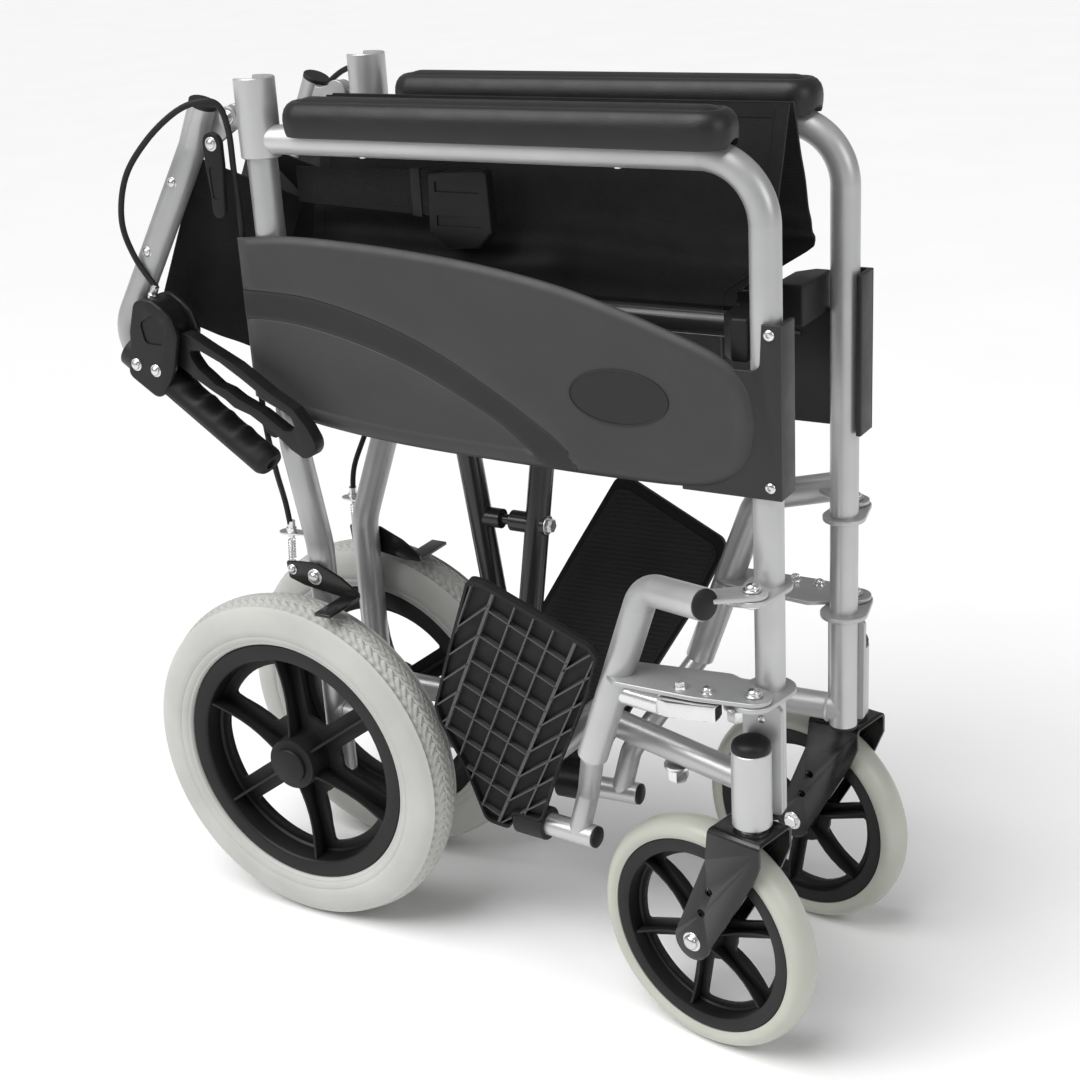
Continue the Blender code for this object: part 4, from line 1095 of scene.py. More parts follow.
def caster_wheel(centre, s):
    """The caster's rim with its spokes, and its tyre."""
    rim = [(0.0160, -0.0045), (0.0690, -0.0045), (0.0712, -0.0060), (0.0730, -0.0116),
           (0.0740, -0.0122), (CASTER_RIM_R - 0.0008, -0.0122), (CASTER_RIM_R, -0.0114),
           (CASTER_RIM_R, 0.0114), (CASTER_RIM_R - 0.0008, 0.0122), (0.0740, 0.0122),
           (0.0730, 0.0116), (0.0714, 0.0000), (0.0700, -0.0012), (0.0160, -0.0012)]
    hub = [(0.0043, -0.0170), (0.0130, -0.0170), (0.0140, -0.0160), (0.0155, -0.0040),
           (0.0175, -0.0015), (0.0160, 0.0030), (0.0140, 0.0160), (0.0130, 0.0170),
           (0.0043, 0.0170)]
    spokes = {"window": (0.0270, 0.0660, 0.0070, -0.006, 0.006), "round": 0.009, "turn": 20.0,
              "fin": (0.0120, 0.0720, -0.0030, 0.0120, 0.0098), "thick": 0.0022, "back": 0.0085}
    wheel = wheel_core(rim, spokes, hub, s)
    wheel.data.transform(Matrix.Translation(centre))
    half = [(CASTER_RIM_R + GAP, 0.0124), (0.0852, 0.0128), (0.0870, 0.0138), (0.0890, 0.0143),
            (0.0910, CASTER_TYRE_HALF), (0.0935, 0.0138), (0.0958, 0.0122), (0.0975, 0.0100),
            (0.0988, 0.0072), (0.0996, 0.0038)]
    section = [(r, -w) for r, w in half] + [(CASTER_R, 0)] + [(r, w) for r, w in half[::-1]]
    return wheel, lathe(section, centre, (0, 1, 0), 128)


def caster(side, s):
    """The whole caster, drawn straight ahead and then turned to where it stands."""
    x, y = CASTER_X, CASTER_Y * s
    axle_x = x - CASTER_TRAIL
    fork = caster_fork(x, y, axle_x)
    steel = caster_steel(x, y, axle_x, s)
    wheel, tyre = caster_wheel((axle_x, y, CASTER_R), s)
    for obj in (fork, steel, wheel, tyre):
        turn_about(obj, (x, y, 0), (0, 0, 1), CASTER_YAW)
    body, wheel_body = "caster_fork_" + side, "caster_wheel_" + side
    put(fork, "caster_fork_" + side, "black_metal", body, "caster_fork_" + side, crease=30)
    put(steel, "caster_axle_" + side, "bright_steel", body)
    put(wheel, "caster_wheel_" + side, "black_plastic", wheel_body, "caster_wheel_" + side)
    put(tyre, "caster_tyre_" + side, "grey_polyurethane", wheel_body, "caster_tyre_" + side)


# ---------------------------------------------------------------- cross brace and seat


def eye(x, y, z, bore):
    """The bearing eye at the end of a brace tube."""
    half = EYE_LENGTH / 2
    return lathe(turned(bore, bore + EYE_WALL, -half, half, 0.0006), (x, y, z), (1, 0, 0), 48)


def brace(name, low_x, top_x, s, hub):
    """One tube of the cross brace, with an eye and a weld bead at each end and its hub."""
    low = Vector((low_x, -RAIL_Y * s, RAIL_Z))
    top = Vector((top_x, RAIL_Y * s, SEAT_Z))
    along = (top - low).normalized()
    parts = [cylinder(low + along * 0.0138, top - along * 0.0128, BRACE_R, 36),
             eye(*low, TUBE_R + GAP), eye(*top, SEAT_RAIL_R + GAP)]
    for start, end, radius in hub:
        parts.append(cylinder((start, 0, BRACE_MIDDLE_Z), (end, 0, BRACE_MIDDLE_Z), radius))
    for end, way in ((low, 1), (top, -1)):
        bead = ellipse(BRACE_R, 0, 0.0012, 0.0012, 8)
        parts.append(lathe(bead, end + along * way * 0.0158, along, 40))
    put(group(*parts), name, "black_metal", name, name)


def cross_brace():
    """The two crossed tubes, and the bolt through the link between them."""
    brace("brace_a", BRACE_A_LOW_X, BRACE_A_TOP_X, 1, [(0.1950, BRACE_A_TOP_X, 0.0090)])
    brace("brace_b", BRACE_B_X, BRACE_B_X, -1,
          [(BRACE_B_X, 0.1850, 0.0085), (0.180, 0.1947, 0.0045)])
    head = bolt((BRACE_A_TOP_X, 0, BRACE_MIDDLE_Z), (1, 0, 0), 0.0062, 0.0045, "hex")
    put(head, "brace_bolt", "bright_steel", "brace_a")


def seat_rail(side, s):
    """The bar that the seat hangs on, with the guide block at its front."""
    y = RAIL_Y * s
    body = "seat_rail_" + side
    x0, x1 = SEAT_RAIL_X
    rail = lathe([(0, x0), (SEAT_RAIL_R - 0.001, x0), (SEAT_RAIL_R, x0 + 0.001), (SEAT_RAIL_R, x1),
                  (0, x1)], (0, y, SEAT_Z), (1, 0, 0), 40)
    block = [(0.424, 0.022 * s), (0.4490, 0.022 * s), (0.4490, 0.080 * s), (0.436, 0.080 * s)]
    block += [(0.424, 0.066 * s)]
    guide = flat_plate(block, SEAT_Z - 0.016, SEAT_Z + 0.016)
    soften(guide, 0.0022, 3)
    put(rail, "seat_rail_" + side, "black_metal", body, "seat_rail_" + side)
    put(guide, "seat_guide_" + side, "black_plastic", body)


def cloth(points_u, points_v, place, thickness=CLOTH):
    """A closed sheet of cloth on a grid. place(u, v) gives a point and the sheet's normal."""
    verts = []
    for face in (-0.5, 0.5):
        for u in points_u:
            for v in points_v:
                spot, normal = place(u, v)
                verts.append(spot + normal * thickness * face)
    return mesh_object("cloth", verts, slab_faces(len(points_u), len(points_v)))


def ease(t):
    t = min(max(t, 0.0), 1.0)
    return t * t * (3 - 2 * t)


def steps_between(start, end, count):
    return [start + (end - start) * i / count for i in range(count + 1)]


SLING_OVERHANG = 0.008
SLING_HEM = 0.0105
# Each fold of the seat: its height up the cloth, its width and its depth.
SLING_FOLDS = ((0.028, 0.007, 0.0070), (0.044, 0.006, 0.0062), (0.061, 0.008, 0.0048),
               (0.098, 0.016, 0.0022))


def seam(spots, off):
    """A line of stitching on the cloth. spots holds pairs of a point and a normal."""
    return sweep([spot + normal.normalized() * off for spot, normal in spots], STITCH_R, 6)


def sling_front(u):
    """The front edge: a neck beside the guide block, then the full length above it."""
    neck_u, rise = 0.0220, 0.0160
    if u < neck_u:
        return SLING_NECK_X
    return min(SLING_X[1], SLING_NECK_X + (SLING_X[1] - SLING_NECK_X) * (u - neck_u) / rise)


def sling_fold(x, u, s):
    """How far the creases lift the cloth at x and at u up from the rail."""
    high = max(u, 0.0) / SLING_HALF
    drift = 0.012 * noise.noise(Vector((x * 6, s * 3.0, 0)))
    fold = 0.0
    for centre, wide, deep in SLING_FOLDS:
        gap = (u - centre - drift - 0.06 * (x - 0.25) * (centre - 0.05)) / wide
        fold += deep * math.exp(-gap * gap) * (0.6 + 0.4 * math.sin(x * 23 + centre * 90))
    fold += 0.0016 * noise.noise(Vector((x * 24, u * 30, s))) * min(1, 4 * high)
    fold = fold * max(0.0, 1 - high) ** 0.35 * min(1, max(0.0, 7 * high))
    return max(fold, -0.0010)


def sling_point(share, u, s):
    """A point of the sling and its normal, at a share of its length and u up its depth."""
    x0 = SLING_X[0]
    x = x0 + (sling_front(u) - x0) * share
    fold = sling_fold(x, u, s)
    bare = ease((x - 0.262) / 0.030)
    tuck = bare * (1 - ease((u - 0.0140) / 0.0330))
    u = u + (0.0200 - u - SLING_OVERHANG) * bare * (1 - ease((u + SLING_OVERHANG) / 0.028))
    hemmed = min(x - x0, sling_front(u) - x) < 0.011 or SLING_HALF - u < 0.010
    lift = SEAT_RAIL_R + EYE_WALL + 0.0022 + fold
    lift += (0.0050 - lift) * tuck
    turn = Matrix.Rotation(-SLING_ANGLE * s, 3, "X")
    spot = Vector((0, RAIL_Y * s, SEAT_Z)) + turn @ Vector((0, -u * s, lift))
    spot.x = x
    return spot, (turn @ Vector((0, 0, 1))) * (1 + (0.0005 if hemmed else 0.0) / CLOTH)


def seat_sling(side, s):
    """Half of the sling, creased where it lies folded, with a hem along each end."""
    name = "seat_sling_" + side
    length = SLING_X[1] - SLING_X[0]
    sheet = cloth(steps_between(0.0, 1.0, 110), steps_between(-SLING_OVERHANG, SLING_HALF, 60),
                  lambda share, u: sling_point(share, u, s))
    put(sheet, name, "black_nylon", name, name, crease=60)
    hem_share = SLING_HEM / length
    seams = [seam([sling_point(share, u, s)
                   for u in steps_between(-0.004, SLING_HALF - 0.004, 40)], 0.0013)
             for share in (hem_share, 1 - hem_share)]
    seams.append(seam([sling_point(share, SLING_HALF - 0.0095, s)
                       for share in steps_between(hem_share, 1 - hem_share, 60)], 0.0013))
    stitching = put(group(*seams), "seat_sling_seams_" + side, "webbing", name)


# ---------------------------------------------------------------- backrest


def fold_down(obj):
    """Turns a piece drawn with the backrest raised into its folded place."""
    return turn_about(obj, (BACK_PIVOT[0], 0, BACK_PIVOT[1]), (0, 1, 0), -BACK_FOLD)


def folded_point(x, y, z):
    """Where a point of the raised back stands when the back is folded."""
    place = Matrix.Translation((BACK_PIVOT[0], 0, BACK_PIVOT[1]))
    turn = place @ Matrix.Rotation(-BACK_FOLD, 4, "Y") @ place.inverted()
    return turn @ Vector((x, y, z))


def handle_point(along, below, y):
    """A folded point given by its distances along the grip and below it."""
    x = REAR_X - along * math.cos(GRIP_TILT) - below * math.sin(GRIP_TILT)
    z = BACK_TOP_Z + along * math.sin(GRIP_TILT) - below * math.cos(GRIP_TILT)
    return folded_point(x, y, z)


def handle_plate(outline, y_low, y_high):
    return prism(outline, y_low, y_high, handle_point)


def back_tube(side, s):
    """The back post in its folded place, with its hinge plate, foot cap and screws."""
    body = "back_" + side
    eye_x, eye_z = BACK_PIVOT
    reach = GRIP_SPAN[0] - GAP
    path = rounded_path(
        [(REAR_X, SIDE_Y * s, BACK_TUBE_FOOT_Z), (REAR_X, SIDE_Y * s, BACK_BEND_Z),
         (REAR_X, GRIP_Y * s, BACK_TOP_Z),
         (REAR_X - reach * math.cos(GRIP_TILT), GRIP_Y * s,
          BACK_TOP_Z + reach * math.sin(GRIP_TILT))], 0.030, 14)
    tube = fold_down(sweep(path, TUBE_R, 40))
    put(tube, "back_tube_" + side, "silver_paint", body, "back_tube_" + side)
    plate = arc(eye_x, eye_z, 0.0098, 180, 355, 20)
    plate += [(0.0215, eye_z + 0.0045), (0.0300, eye_z + 0.0045), (0.0300, 0.7750),
              (0.0220, 0.7750)]
    hinge = fold_down(soften(side_plate(plate, 0.0664 * s, 0.0712 * s), 0.0007))
    put(hinge, "back_hinge_plate_" + side, "silver_paint", body)
    cap = lathe([(0, -0.0070), (0.0098, -0.0070), (0.0104, -0.0030), (0.0118, -0.0028),
                 (0.0119, 0.0000), (0.0112, 0.0006), (0, 0.0008)],
                (REAR_X, SIDE_Y * s, BACK_TUBE_FOOT_Z), (0, 0, -1), 40)
    put(fold_down(cap), "back_tube_cap_" + side, "black_plastic", body)
    slant = (GRIP_Y - SIDE_Y) / (BACK_TOP_Z - BACK_BEND_Z)
    screws = []
    for z in (0.800, 0.862):
        y = (SIDE_Y + (z - BACK_BEND_Z) * slant) * s
        screws.append(bolt(folded_point(REAR_X, y + 0.0105 * s, z), (0, s, 0), 0.0036, 0.0024))
    put(group(*screws), "upholstery_screws_" + side, "bright_steel", body)


def grip_radius(along, t, a):
    """The grip's radius at t of its length and the angle a from the side under the hand."""
    fingers, half_width = (0.085, 0.106, 0.127, 0.148), 0.0078
    if t < 0.04:
        return GRIP_R - 0.0002
    face = max(0.0, math.cos(a)) ** 3
    wave = sum(math.exp(-((along - middle) / half_width) ** 4) for middle in fingers)
    radius = GRIP_R - 0.0004 - 0.0052 * wave * face
    if math.cos(16 * a) > 0 and face == 0 and 0.1 < t < 0.9:
        radius -= 0.0003
    if t > 0.955:
        radius -= 0.0030 * ((t - 0.955) / 0.045) ** 2
    return radius


def push_grip(side, s):
    """Ribbed hand grip with four finger hollows on the side that faces the lever."""
    start, end = GRIP_SPAN
    base = handle_point(0, 0, GRIP_Y * s)
    ahead = handle_point(1, 0, GRIP_Y * s) - base
    under = handle_point(0, 1, GRIP_Y * s) - base
    side_way = Vector((0, s, 0))
    sides, rings = 56, 110
    verts = []
    for i in range(rings + 1):
        t = i / rings
        along = start + (end - start) * t
        for k in range(sides):
            a = 2 * math.pi * k / sides
            out = under * math.cos(a) * 0.80 + side_way * math.sin(a)
            verts.append(base + ahead * along + out * grip_radius(along, t, a))
    grip = mesh_object("grip", verts, tube_faces(rings + 1, sides))
    vent = [(0, -0.003), (0.0045, -0.003), (0.0055, 0.002), (0, 0.002)]
    carve(grip, lathe(vent, base + ahead * end, ahead, 24))
    put(grip, "push_grip_" + side, "black_rubber", "back_" + side, "push_grip_" + side, crease=45)


def brake_mount(side, s):
    """Lever housing: a shield-shaped body, its two covers, a clamp round the tube and bolts."""
    body = "back_" + side
    y = GRIP_Y * s
    core = [(0.0095, 0.0345), (0.0190, 0.0215), (0.0300, 0.0150), (0.0390, 0.0165),
            (0.0500, 0.0175), (0.0503, 0.0400), (0.0440, 0.0510), (0.0340, 0.0575),
            (0.0220, 0.0592), (0.0105, 0.0550)]
    shell = soften(handle_plate(round_corners(core, 0.012), y - 0.0108, y + 0.0108), 0.0022, 4)
    put(shell, "brake_mount_" + side, "lever_plastic", body, "brake_mount_" + side)
    brake_shields(side, s)
    base = handle_point(0, 0, y)
    ahead = handle_point(1, 0, y) - base
    ring = [(0.0118, 0.0130), (0.0158, 0.0130), (0.0166, 0.0140), (0.0166, 0.0320),
            (0.0158, 0.0330), (0.0118, 0.0330)]
    put(lathe(ring, base, ahead, 56), "brake_clamp_" + side, "lever_plastic", body)
    face = 0.0162
    heads = []
    for along, below in ((0.0306, 0.0003), (0.0497, 0.0089)):
        heads.append(bolt(handle_point(along, below, y + face * s), (0, s, 0), 0.0040, 0.0030))
        heads.append(bolt(handle_point(along, below, y - face * s), (0, -s, 0), 0.0042, 0.0028,
                          "hex"))
    put(group(*heads), "brake_mount_bolts_" + side, "bright_steel", body)
    start = handle_point(0.0110, 0.0525, y)
    way = (handle_point(0.0090, 0.0655, y) - start).normalized()
    ferrule = lathe([(0, 0), (0.0042, 0), (0.0042, 0.0035), (0.0034, 0.0042), (0.0034, 0.0100),
                     (0.0026, 0.0125), (0, 0.0125)], start, way, 28)
    put(ferrule, "cable_ferrule_" + side, "bright_steel", body)


def brake_shields(side, s):
    """The covers on both faces of the lever housing, each with a shallow recess."""
    face = [(0.0047, 0.0476), (0.0120, 0.0560), (0.0195, 0.0606), (0.0310, 0.0610),
            (0.0421, 0.0595), (0.0551, 0.0494), (0.0602, 0.0344), (0.0650, 0.0200),
            (0.0660, 0.0090), (0.0640, -0.0130), (0.0260, -0.0140), (0.0230, 0.0010),
            (0.0120, 0.0220)]
    recess = [(0.0183, 0.0362), (0.0307, 0.0237), (0.0475, 0.0338), (0.0420, 0.0485),
              (0.0270, 0.0520)]
    y = GRIP_Y * s
    for way, name in ((s, "outer"), (-s, "inner")):
        shield = handle_plate(round_corners(face, 0.010), y + way * 0.0100, y + way * 0.0164)
        soften(shield, 0.0022, 4)
        carve(shield, handle_plate(round_corners(recess, 0.006), y + way * 0.0152,
                                   y + way * 0.0190))
        put(shield, "brake_shield_" + name + "_" + side, "lever_plastic", "back_" + side)


def brake_lever(side, s):
    """The attendant's looped lever, with its parking catch."""
    body = "brake_lever_" + side
    y = GRIP_Y * s
    upper = [(0.0508, 0.0200), (0.0700, 0.0215), (0.0850, 0.0222), (0.1010, 0.0238),
             (0.1130, 0.0256), (0.1240, 0.0252), (0.1400, 0.0302), (0.1560, 0.0312),
             (0.1720, 0.0318), (0.1860, 0.0305), (0.1990, 0.0318)]
    tip = arc(0.1935, 0.0425, 0.0118, -62, 62, 8)
    lower = [(0.1900, 0.0575), (0.1723, 0.0626), (0.1475, 0.0600), (0.1086, 0.0590),
             (0.0800, 0.0545), (0.0613, 0.0520), (0.0506, 0.0480)]
    outline = round_corners(upper + tip + lower, 0.006)
    lever = handle_plate(outline, y - 0.0064, y + 0.0064)
    slot = [(0.0640, 0.0400), (0.0700, 0.0350), (0.0800, 0.0315), (0.0900, 0.0312),
            (0.1010, 0.0305), (0.1120, 0.0340), (0.1240, 0.0345), (0.1350, 0.0368),
            (0.1480, 0.0395), (0.1600, 0.0398), (0.1740, 0.0405), (0.1795, 0.0450),
            (0.1800, 0.0510), (0.1730, 0.0555), (0.1480, 0.0530), (0.1200, 0.0525),
            (0.0950, 0.0510), (0.0750, 0.0470)]
    carve(lever, handle_plate(round_corners(slot, 0.005), y - 0.02, y + 0.02))
    soften(lever, 0.0016, 3, 30)
    put(lever, "brake_lever_" + side, "lever_plastic", body, "brake_lever_" + side)
    hook = round_corners([(0.1500, 0.0295), (0.1560, 0.0262), (0.1640, 0.0254), (0.1690, 0.0275),
                          (0.1670, 0.0330), (0.1520, 0.0340)], 0.002)
    catch = soften(handle_plate(hook, y - 0.0040, y + 0.0040), 0.0008)
    put(catch, "parking_catch_" + side, "black_plastic", body)


def flap_place(s, part):
    """The raised frame of one flap: where it starts, and the turn that lays it out."""
    post = Vector((REAR_X, SIDE_Y * s, 0))
    turn = Matrix.Rotation(FLAP_ANGLE * s, 4, "Z")
    if part == "outer":
        return post, turn
    crease = post + turn @ Vector((0, -FLAP_WIDTH * s, 0))
    return crease, Matrix.Rotation(-FLAP_ANGLE * s, 4, "Z")


def flap_point(u, z, s, part):
    """A folded point and normal of a flap, u from its post or crease and z up the raised post."""
    low, high = FLAP_Z
    near, far = FLAP_SPANS[part]
    start, turn = flap_place(s, part)
    shift = 1.0 if part == "outer" else 2.0
    t = (u - near) / (far - near)
    edge = min(1.0, 5 * min(t, 1 - t) + 0.05)
    belly = 0.0013 * math.sin(math.pi * t) * math.sin(z * 60 + shift)
    belly += 0.0016 * noise.noise(Vector((u * 40, z * 26, shift * s)))
    hem = 1.4 if min(z - low, high - z) < 0.010 else 1.0
    spot = folded_point(*(start + turn @ Vector((belly * edge, -u * s, z))))
    normal = folded_point(*(start + turn @ Vector((1, -u * s, z))))
    normal -= folded_point(*(start + turn @ Vector((0, -u * s, z))))
    return spot, normal * hem


def back_flaps(side, s):
    """The creased back upholstery. Each flap bellies a little and is hemmed top and bottom."""
    low, high = FLAP_Z
    for part, (near, far) in FLAP_SPANS.items():
        name = "back_" + part + "_" + side
        sheet = cloth(steps_between(near, far, 36), steps_between(low, high, 44),
                      lambda u, z: flap_point(u, z, s, part))
        put(sheet, name, "black_nylon", name, name, crease=60)
        seams = [seam([flap_point(u, z, s, part)
                       for u in steps_between(near + 0.001, far - 0.001, 30)], 0.0011)
                 for z in (low + 0.0102, high - 0.0102)]
        stitching = put(group(*seams), name + "_seams", "webbing", name)


def release_lever(side, s):
    """Thumb lever that frees the back post: a waisted strap with a shallow dish in its face."""
    x, z = -0.0030, 0.7120
    outline = arc(x, z, 0.0090, 0, 180, 20)
    outline += [(x - 0.0088, 0.6950), (x - 0.0062, 0.6720)]
    outline += arc(x - 0.0005, 0.6590, 0.0062, 180, 360, 14)
    outline += [(x + 0.0066, 0.6720), (x + 0.0088, 0.6950)]
    lever = soften(side_plate(outline, 0.0900 * s, 0.0955 * s), 0.0014, 4)
    dish = [(x - 0.004, 0.668), (x + 0.004, 0.668), (x + 0.0050, 0.694), (x - 0.0050, 0.694)]
    carve(lever, side_plate(round_corners(dish, 0.003), 0.0948 * s, 0.0990 * s))
    name = "release_lever_" + side
    put(lever, name, "black_plastic", name, name)
    pin = bolt((x, 0.0953 * s, z), (0, s, 0), 0.0042, 0.0026)
    put(pin, "release_pin_" + side, "bright_steel", name)


# ---------------------------------------------------------------- brakes


def brake_arm(side, s):
    """The arm that the cable pulls, with a flat shoe that reaches over the tyre."""
    name = "brake_arm_" + side
    tip_x, tip_z = 0.0625, 0.3115
    outline = [(-0.014, 0.338), (-0.012, 0.322), (0.004, 0.3170), (0.046, tip_z),
               (tip_x, tip_z), (tip_x, 0.3175), (0.044, 0.3300), (0.020, 0.3400)]
    arm = side_plate(round_corners(outline, 0.003), 0.0468 * s, 0.0498 * s)
    soften(arm, 0.0006, 2)
    shoe = soften(side_box((0.046, tip_x), (0.0480, 0.0930), (tip_z, 0.3148), s), 0.0009)
    put(group(arm, shoe), name, "black_metal", name, name)
    head = bolt((0.017, 0.0497 * s, 0.3270), (0, s, 0), 0.0056, 0.0046)
    clamp = bolt((-0.0075, 0.0497 * s, 0.3305), (0, s, 0), 0.0036, 0.0030)
    put(group(head, clamp), "brake_bolts_" + side, "bright_steel", name)


def cable_stop(side, s):
    """The strap that holds the cable's end, its barrel adjuster, the bare wire and the spring."""
    x, y, z = CABLE_STOP
    top = Vector((x, y * s, z))
    low = Vector((-0.0075, 0.0482 * s, 0.3385))
    way = (low - top).normalized()
    barrel = [(0, -0.010), (0.0036, -0.010), (0.0036, -0.0040), (0.0046, -0.0038),
              (0.0046, 0.0005), (0.0030, 0.0008), (0.0030, 0.0050), (0, 0.0050)]
    adjuster = lathe(barrel, top, way, 24)
    outline = link_outline((-0.0120, y * s), 0.0060, (0.0160, 0.0440 * s), 0.0045)
    strap = soften(flat_plate(outline, z - 0.0020, z), 0.0005, 2)
    grip = bolt((0.0165, 0.0440 * s, z), (0, 0, 1), 0.0034, 0.0026)
    put(group(adjuster, strap, grip), "cable_stop_" + side, "bright_steel", "frame_" + side)
    turns, steps = 8, 139
    start, end = top + way * 0.0070, low - way * 0.0010
    coils = []
    for i in range(steps + 1):
        a = 2 * math.pi * turns * i / steps
        coils.append(start.lerp(end, i / steps) + Vector((math.cos(a), math.sin(a), 0)) * 0.0031)
    coil = put(group(cylinder(top, low, 0.0008, 10), sweep(coils, 0.00055, 8)),
               "brake_spring_" + side, "bright_steel", "frame_" + side)
    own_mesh(coil)


CABLE = [(-0.0860, 0.110, 0.620), (-0.0928, 0.112, 0.650), (-0.0820, 0.112, 0.686),
         (-0.0545, 0.112, 0.716), (-0.0250, 0.108, 0.738), (-0.0030, 0.102, 0.746),
         (0.0090, 0.0950, 0.742), (0.0120, 0.0900, 0.722), (0.0085, 0.0850, 0.690),
         (0.0080, 0.0830, 0.640), (0.0080, 0.0830, 0.500), (0.0040, 0.0720, 0.440),
         (-0.0050, 0.0520, 0.395), CABLE_STOP]

def brake_cable(side, s):
    """The cable from the lever housing to its stop above the brake arm."""
    start = handle_point(0.0120, 0.0625, GRIP_Y)
    points = smooth_curve([start] + CABLE, 8)
    points = [Vector((p.x, p.y * s, p.z)) for p in points]
    tube = sweep(points, CABLE_D / 2, 16)
    put(tube, "brake_cable_" + side, "black_rubber", None, "brake_cable_" + side)
    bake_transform(tube)
    path = [(p.x + X_SHIFT, p.y, p.z) for p in points]
    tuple(path[0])


# ---------------------------------------------------------------- footrests


def hanger(side, s):
    """The swing-away footrest: a bent tube with a thinner drop tube, its pivot and plates."""
    body = "footrest_" + side
    foot_x, foot_y, foot_z = FOOT_PIVOT
    knee = (0.318, 0.1000 * s, 0.240)
    bend = (0.374, 0.1070 * s, 0.3960)
    top = (0.436, 0.1346 * s, 0.4038)
    tube = sweep(rounded_path([top, bend, knee], 0.026, 16), HANGER_R, 40)
    lower = rounded_path([(0.335, 0.1020 * s, 0.286), knee, (foot_x + 0.012, foot_y * s, 0.168),
                          (foot_x, foot_y * s, foot_z)], 0.016, 12)
    drop = sweep(lower, DROP_R, 36)
    put(group(tube, drop), "footrest_hanger_" + side, "silver_paint", body,
        "footrest_hanger_" + side)
    cap = lathe([(0, -0.002), (0.0105, -0.002), (0.0118, 0.0004), (0.0118, 0.0014),
                 (0.0100, 0.0024), (0, 0.0030)], top, Vector(top) - Vector(bend), 36)
    put(cap, "hanger_cap_" + side, "black_plastic", body)
    foot_pivot(side, s)
    stub = cylinder((0.342, 0.100 * s, 0.303), (0.386, 0.107 * s, 0.303), 0.0100, 36)
    put(stub, "hanger_stub_" + side, "bright_steel", body)
    hanger_plates(side, s)


def foot_frame(s):
    """The footplate's pivot, and the directions along it and across it to the outside."""
    foot_x, foot_y, foot_z = FOOT_PIVOT
    ahead = Vector((math.cos(FOOT_HEADING), math.sin(FOOT_HEADING) * s, 0))
    out = Vector((-math.sin(FOOT_HEADING), math.cos(FOOT_HEADING) * s, 0))
    return Vector((foot_x, foot_y * s, foot_z)), ahead, out


def foot_pivot(side, s):
    """The tube that the footplate turns on, with a cap in each end."""
    body = "footrest_" + side
    pivot, ahead, _ = foot_frame(s)
    back, front = -0.060, 0.017
    shaft = lathe([(0, back), (PIVOT_TUBE_R, back), (PIVOT_TUBE_R, front - 0.0005),
                   (PIVOT_TUBE_R - 0.0006, front), (0, front)], pivot, ahead, 36)
    put(shaft, "foot_pivot_tube_" + side, "silver_paint", body)
    cap = [(0, -0.002), (0.0085, -0.002), (0.0095, 0.0003), (0.0095, 0.0020), (0.0080, 0.0030),
           (0, 0.0034)]
    ends = [lathe(cap, pivot + ahead * at, ahead * way, 32)
            for at, way in ((front, 1), (back, -1))]
    put(group(*ends), "foot_pivot_caps_" + side, "black_plastic", body)


def hanger_plates(side, s):
    """The plates that sit on the post's brackets, each with a hole for its hinge pin."""
    body = "footrest_" + side
    clear, thick = 0.0043, 0.0037
    hinge = (HINGE_X, HINGE_Y * s)
    outline = arc(HINGE_X, HINGE_Y, 0.0142, 90, -90, 16)
    outline += [(0.430, 0.0745), (0.352, 0.0840), (0.336, 0.0940),
                (0.336, 0.1100), (0.352, 0.1235), (0.420, 0.1235)]
    low = HINGE_LOW_Z + clear
    plate = flat_plate(round_corners([(x, y * s) for x, y in outline], 0.010), low, low + thick)
    high = HINGE_TOP_Z + clear
    outline = link_outline(hinge, 0.0120, (0.426, 0.1270 * s), 0.0100)
    strap = flat_plate(outline, high, high + thick)
    for piece, edge, segments in ((plate, 0.0009, 3), (strap, 0.0007, 2)):
        carve(piece, cylinder((*hinge, 0.28), (*hinge, 0.43), HINGE_PIN_R + GAP))
        soften(piece, edge, segments)
    put(group(plate, strap), "hanger_plates_" + side, "silver_paint", body)
    studs = [bolt((x, y * s, HINGE_LOW_Z + 0.0078), (0, 0, 1), 0.0042, 0.0046, kind)
             for x, y, kind in ((0.404, 0.1125, "hex"), (0.426, 0.1120, "dome"))]
    put(group(*studs), "hanger_studs_" + side, "bright_steel", body)


def clip_line(outline, point, way):
    """The stretches of a line that lie inside a closed outline, as pairs of distances."""
    hits = []
    n = len(outline)
    for i in range(n):
        a, b = Vector(outline[i]), Vector(outline[(i + 1) % n])
        edge = b - a
        cross = way.x * edge.y - way.y * edge.x
        if abs(cross) < 1e-12:
            continue
        gap = a - point
        t = (gap.x * edge.y - gap.y * edge.x) / cross
        u = (gap.x * way.y - gap.y * way.x) / cross
        if 0 <= u < 1:
            hits.append(t)
    hits.sort()
    return list(zip(hits[::2], hits[1::2]))


PLATE = [(-0.062, 0.0120), (-0.030, 0.0120), (0.008, 0.0900), (0.060, 0.1870), (0.077, 0.2270),
         (0.073, 0.2360), (-0.016, 0.2790), (-0.030, 0.2800), (-0.070, 0.2040),
         (-0.110, 0.1250), (-0.110, 0.1100), (-0.098, 0.0500), (-0.094, -0.0080),
         (-0.067, -0.0100)]


def scaled(outline, share):
    """The plate's outline drawn in towards its middle."""
    middle = Vector((-0.020, 0.135))
    return [tuple(middle + (Vector(p) - middle) * share) for p in outline]


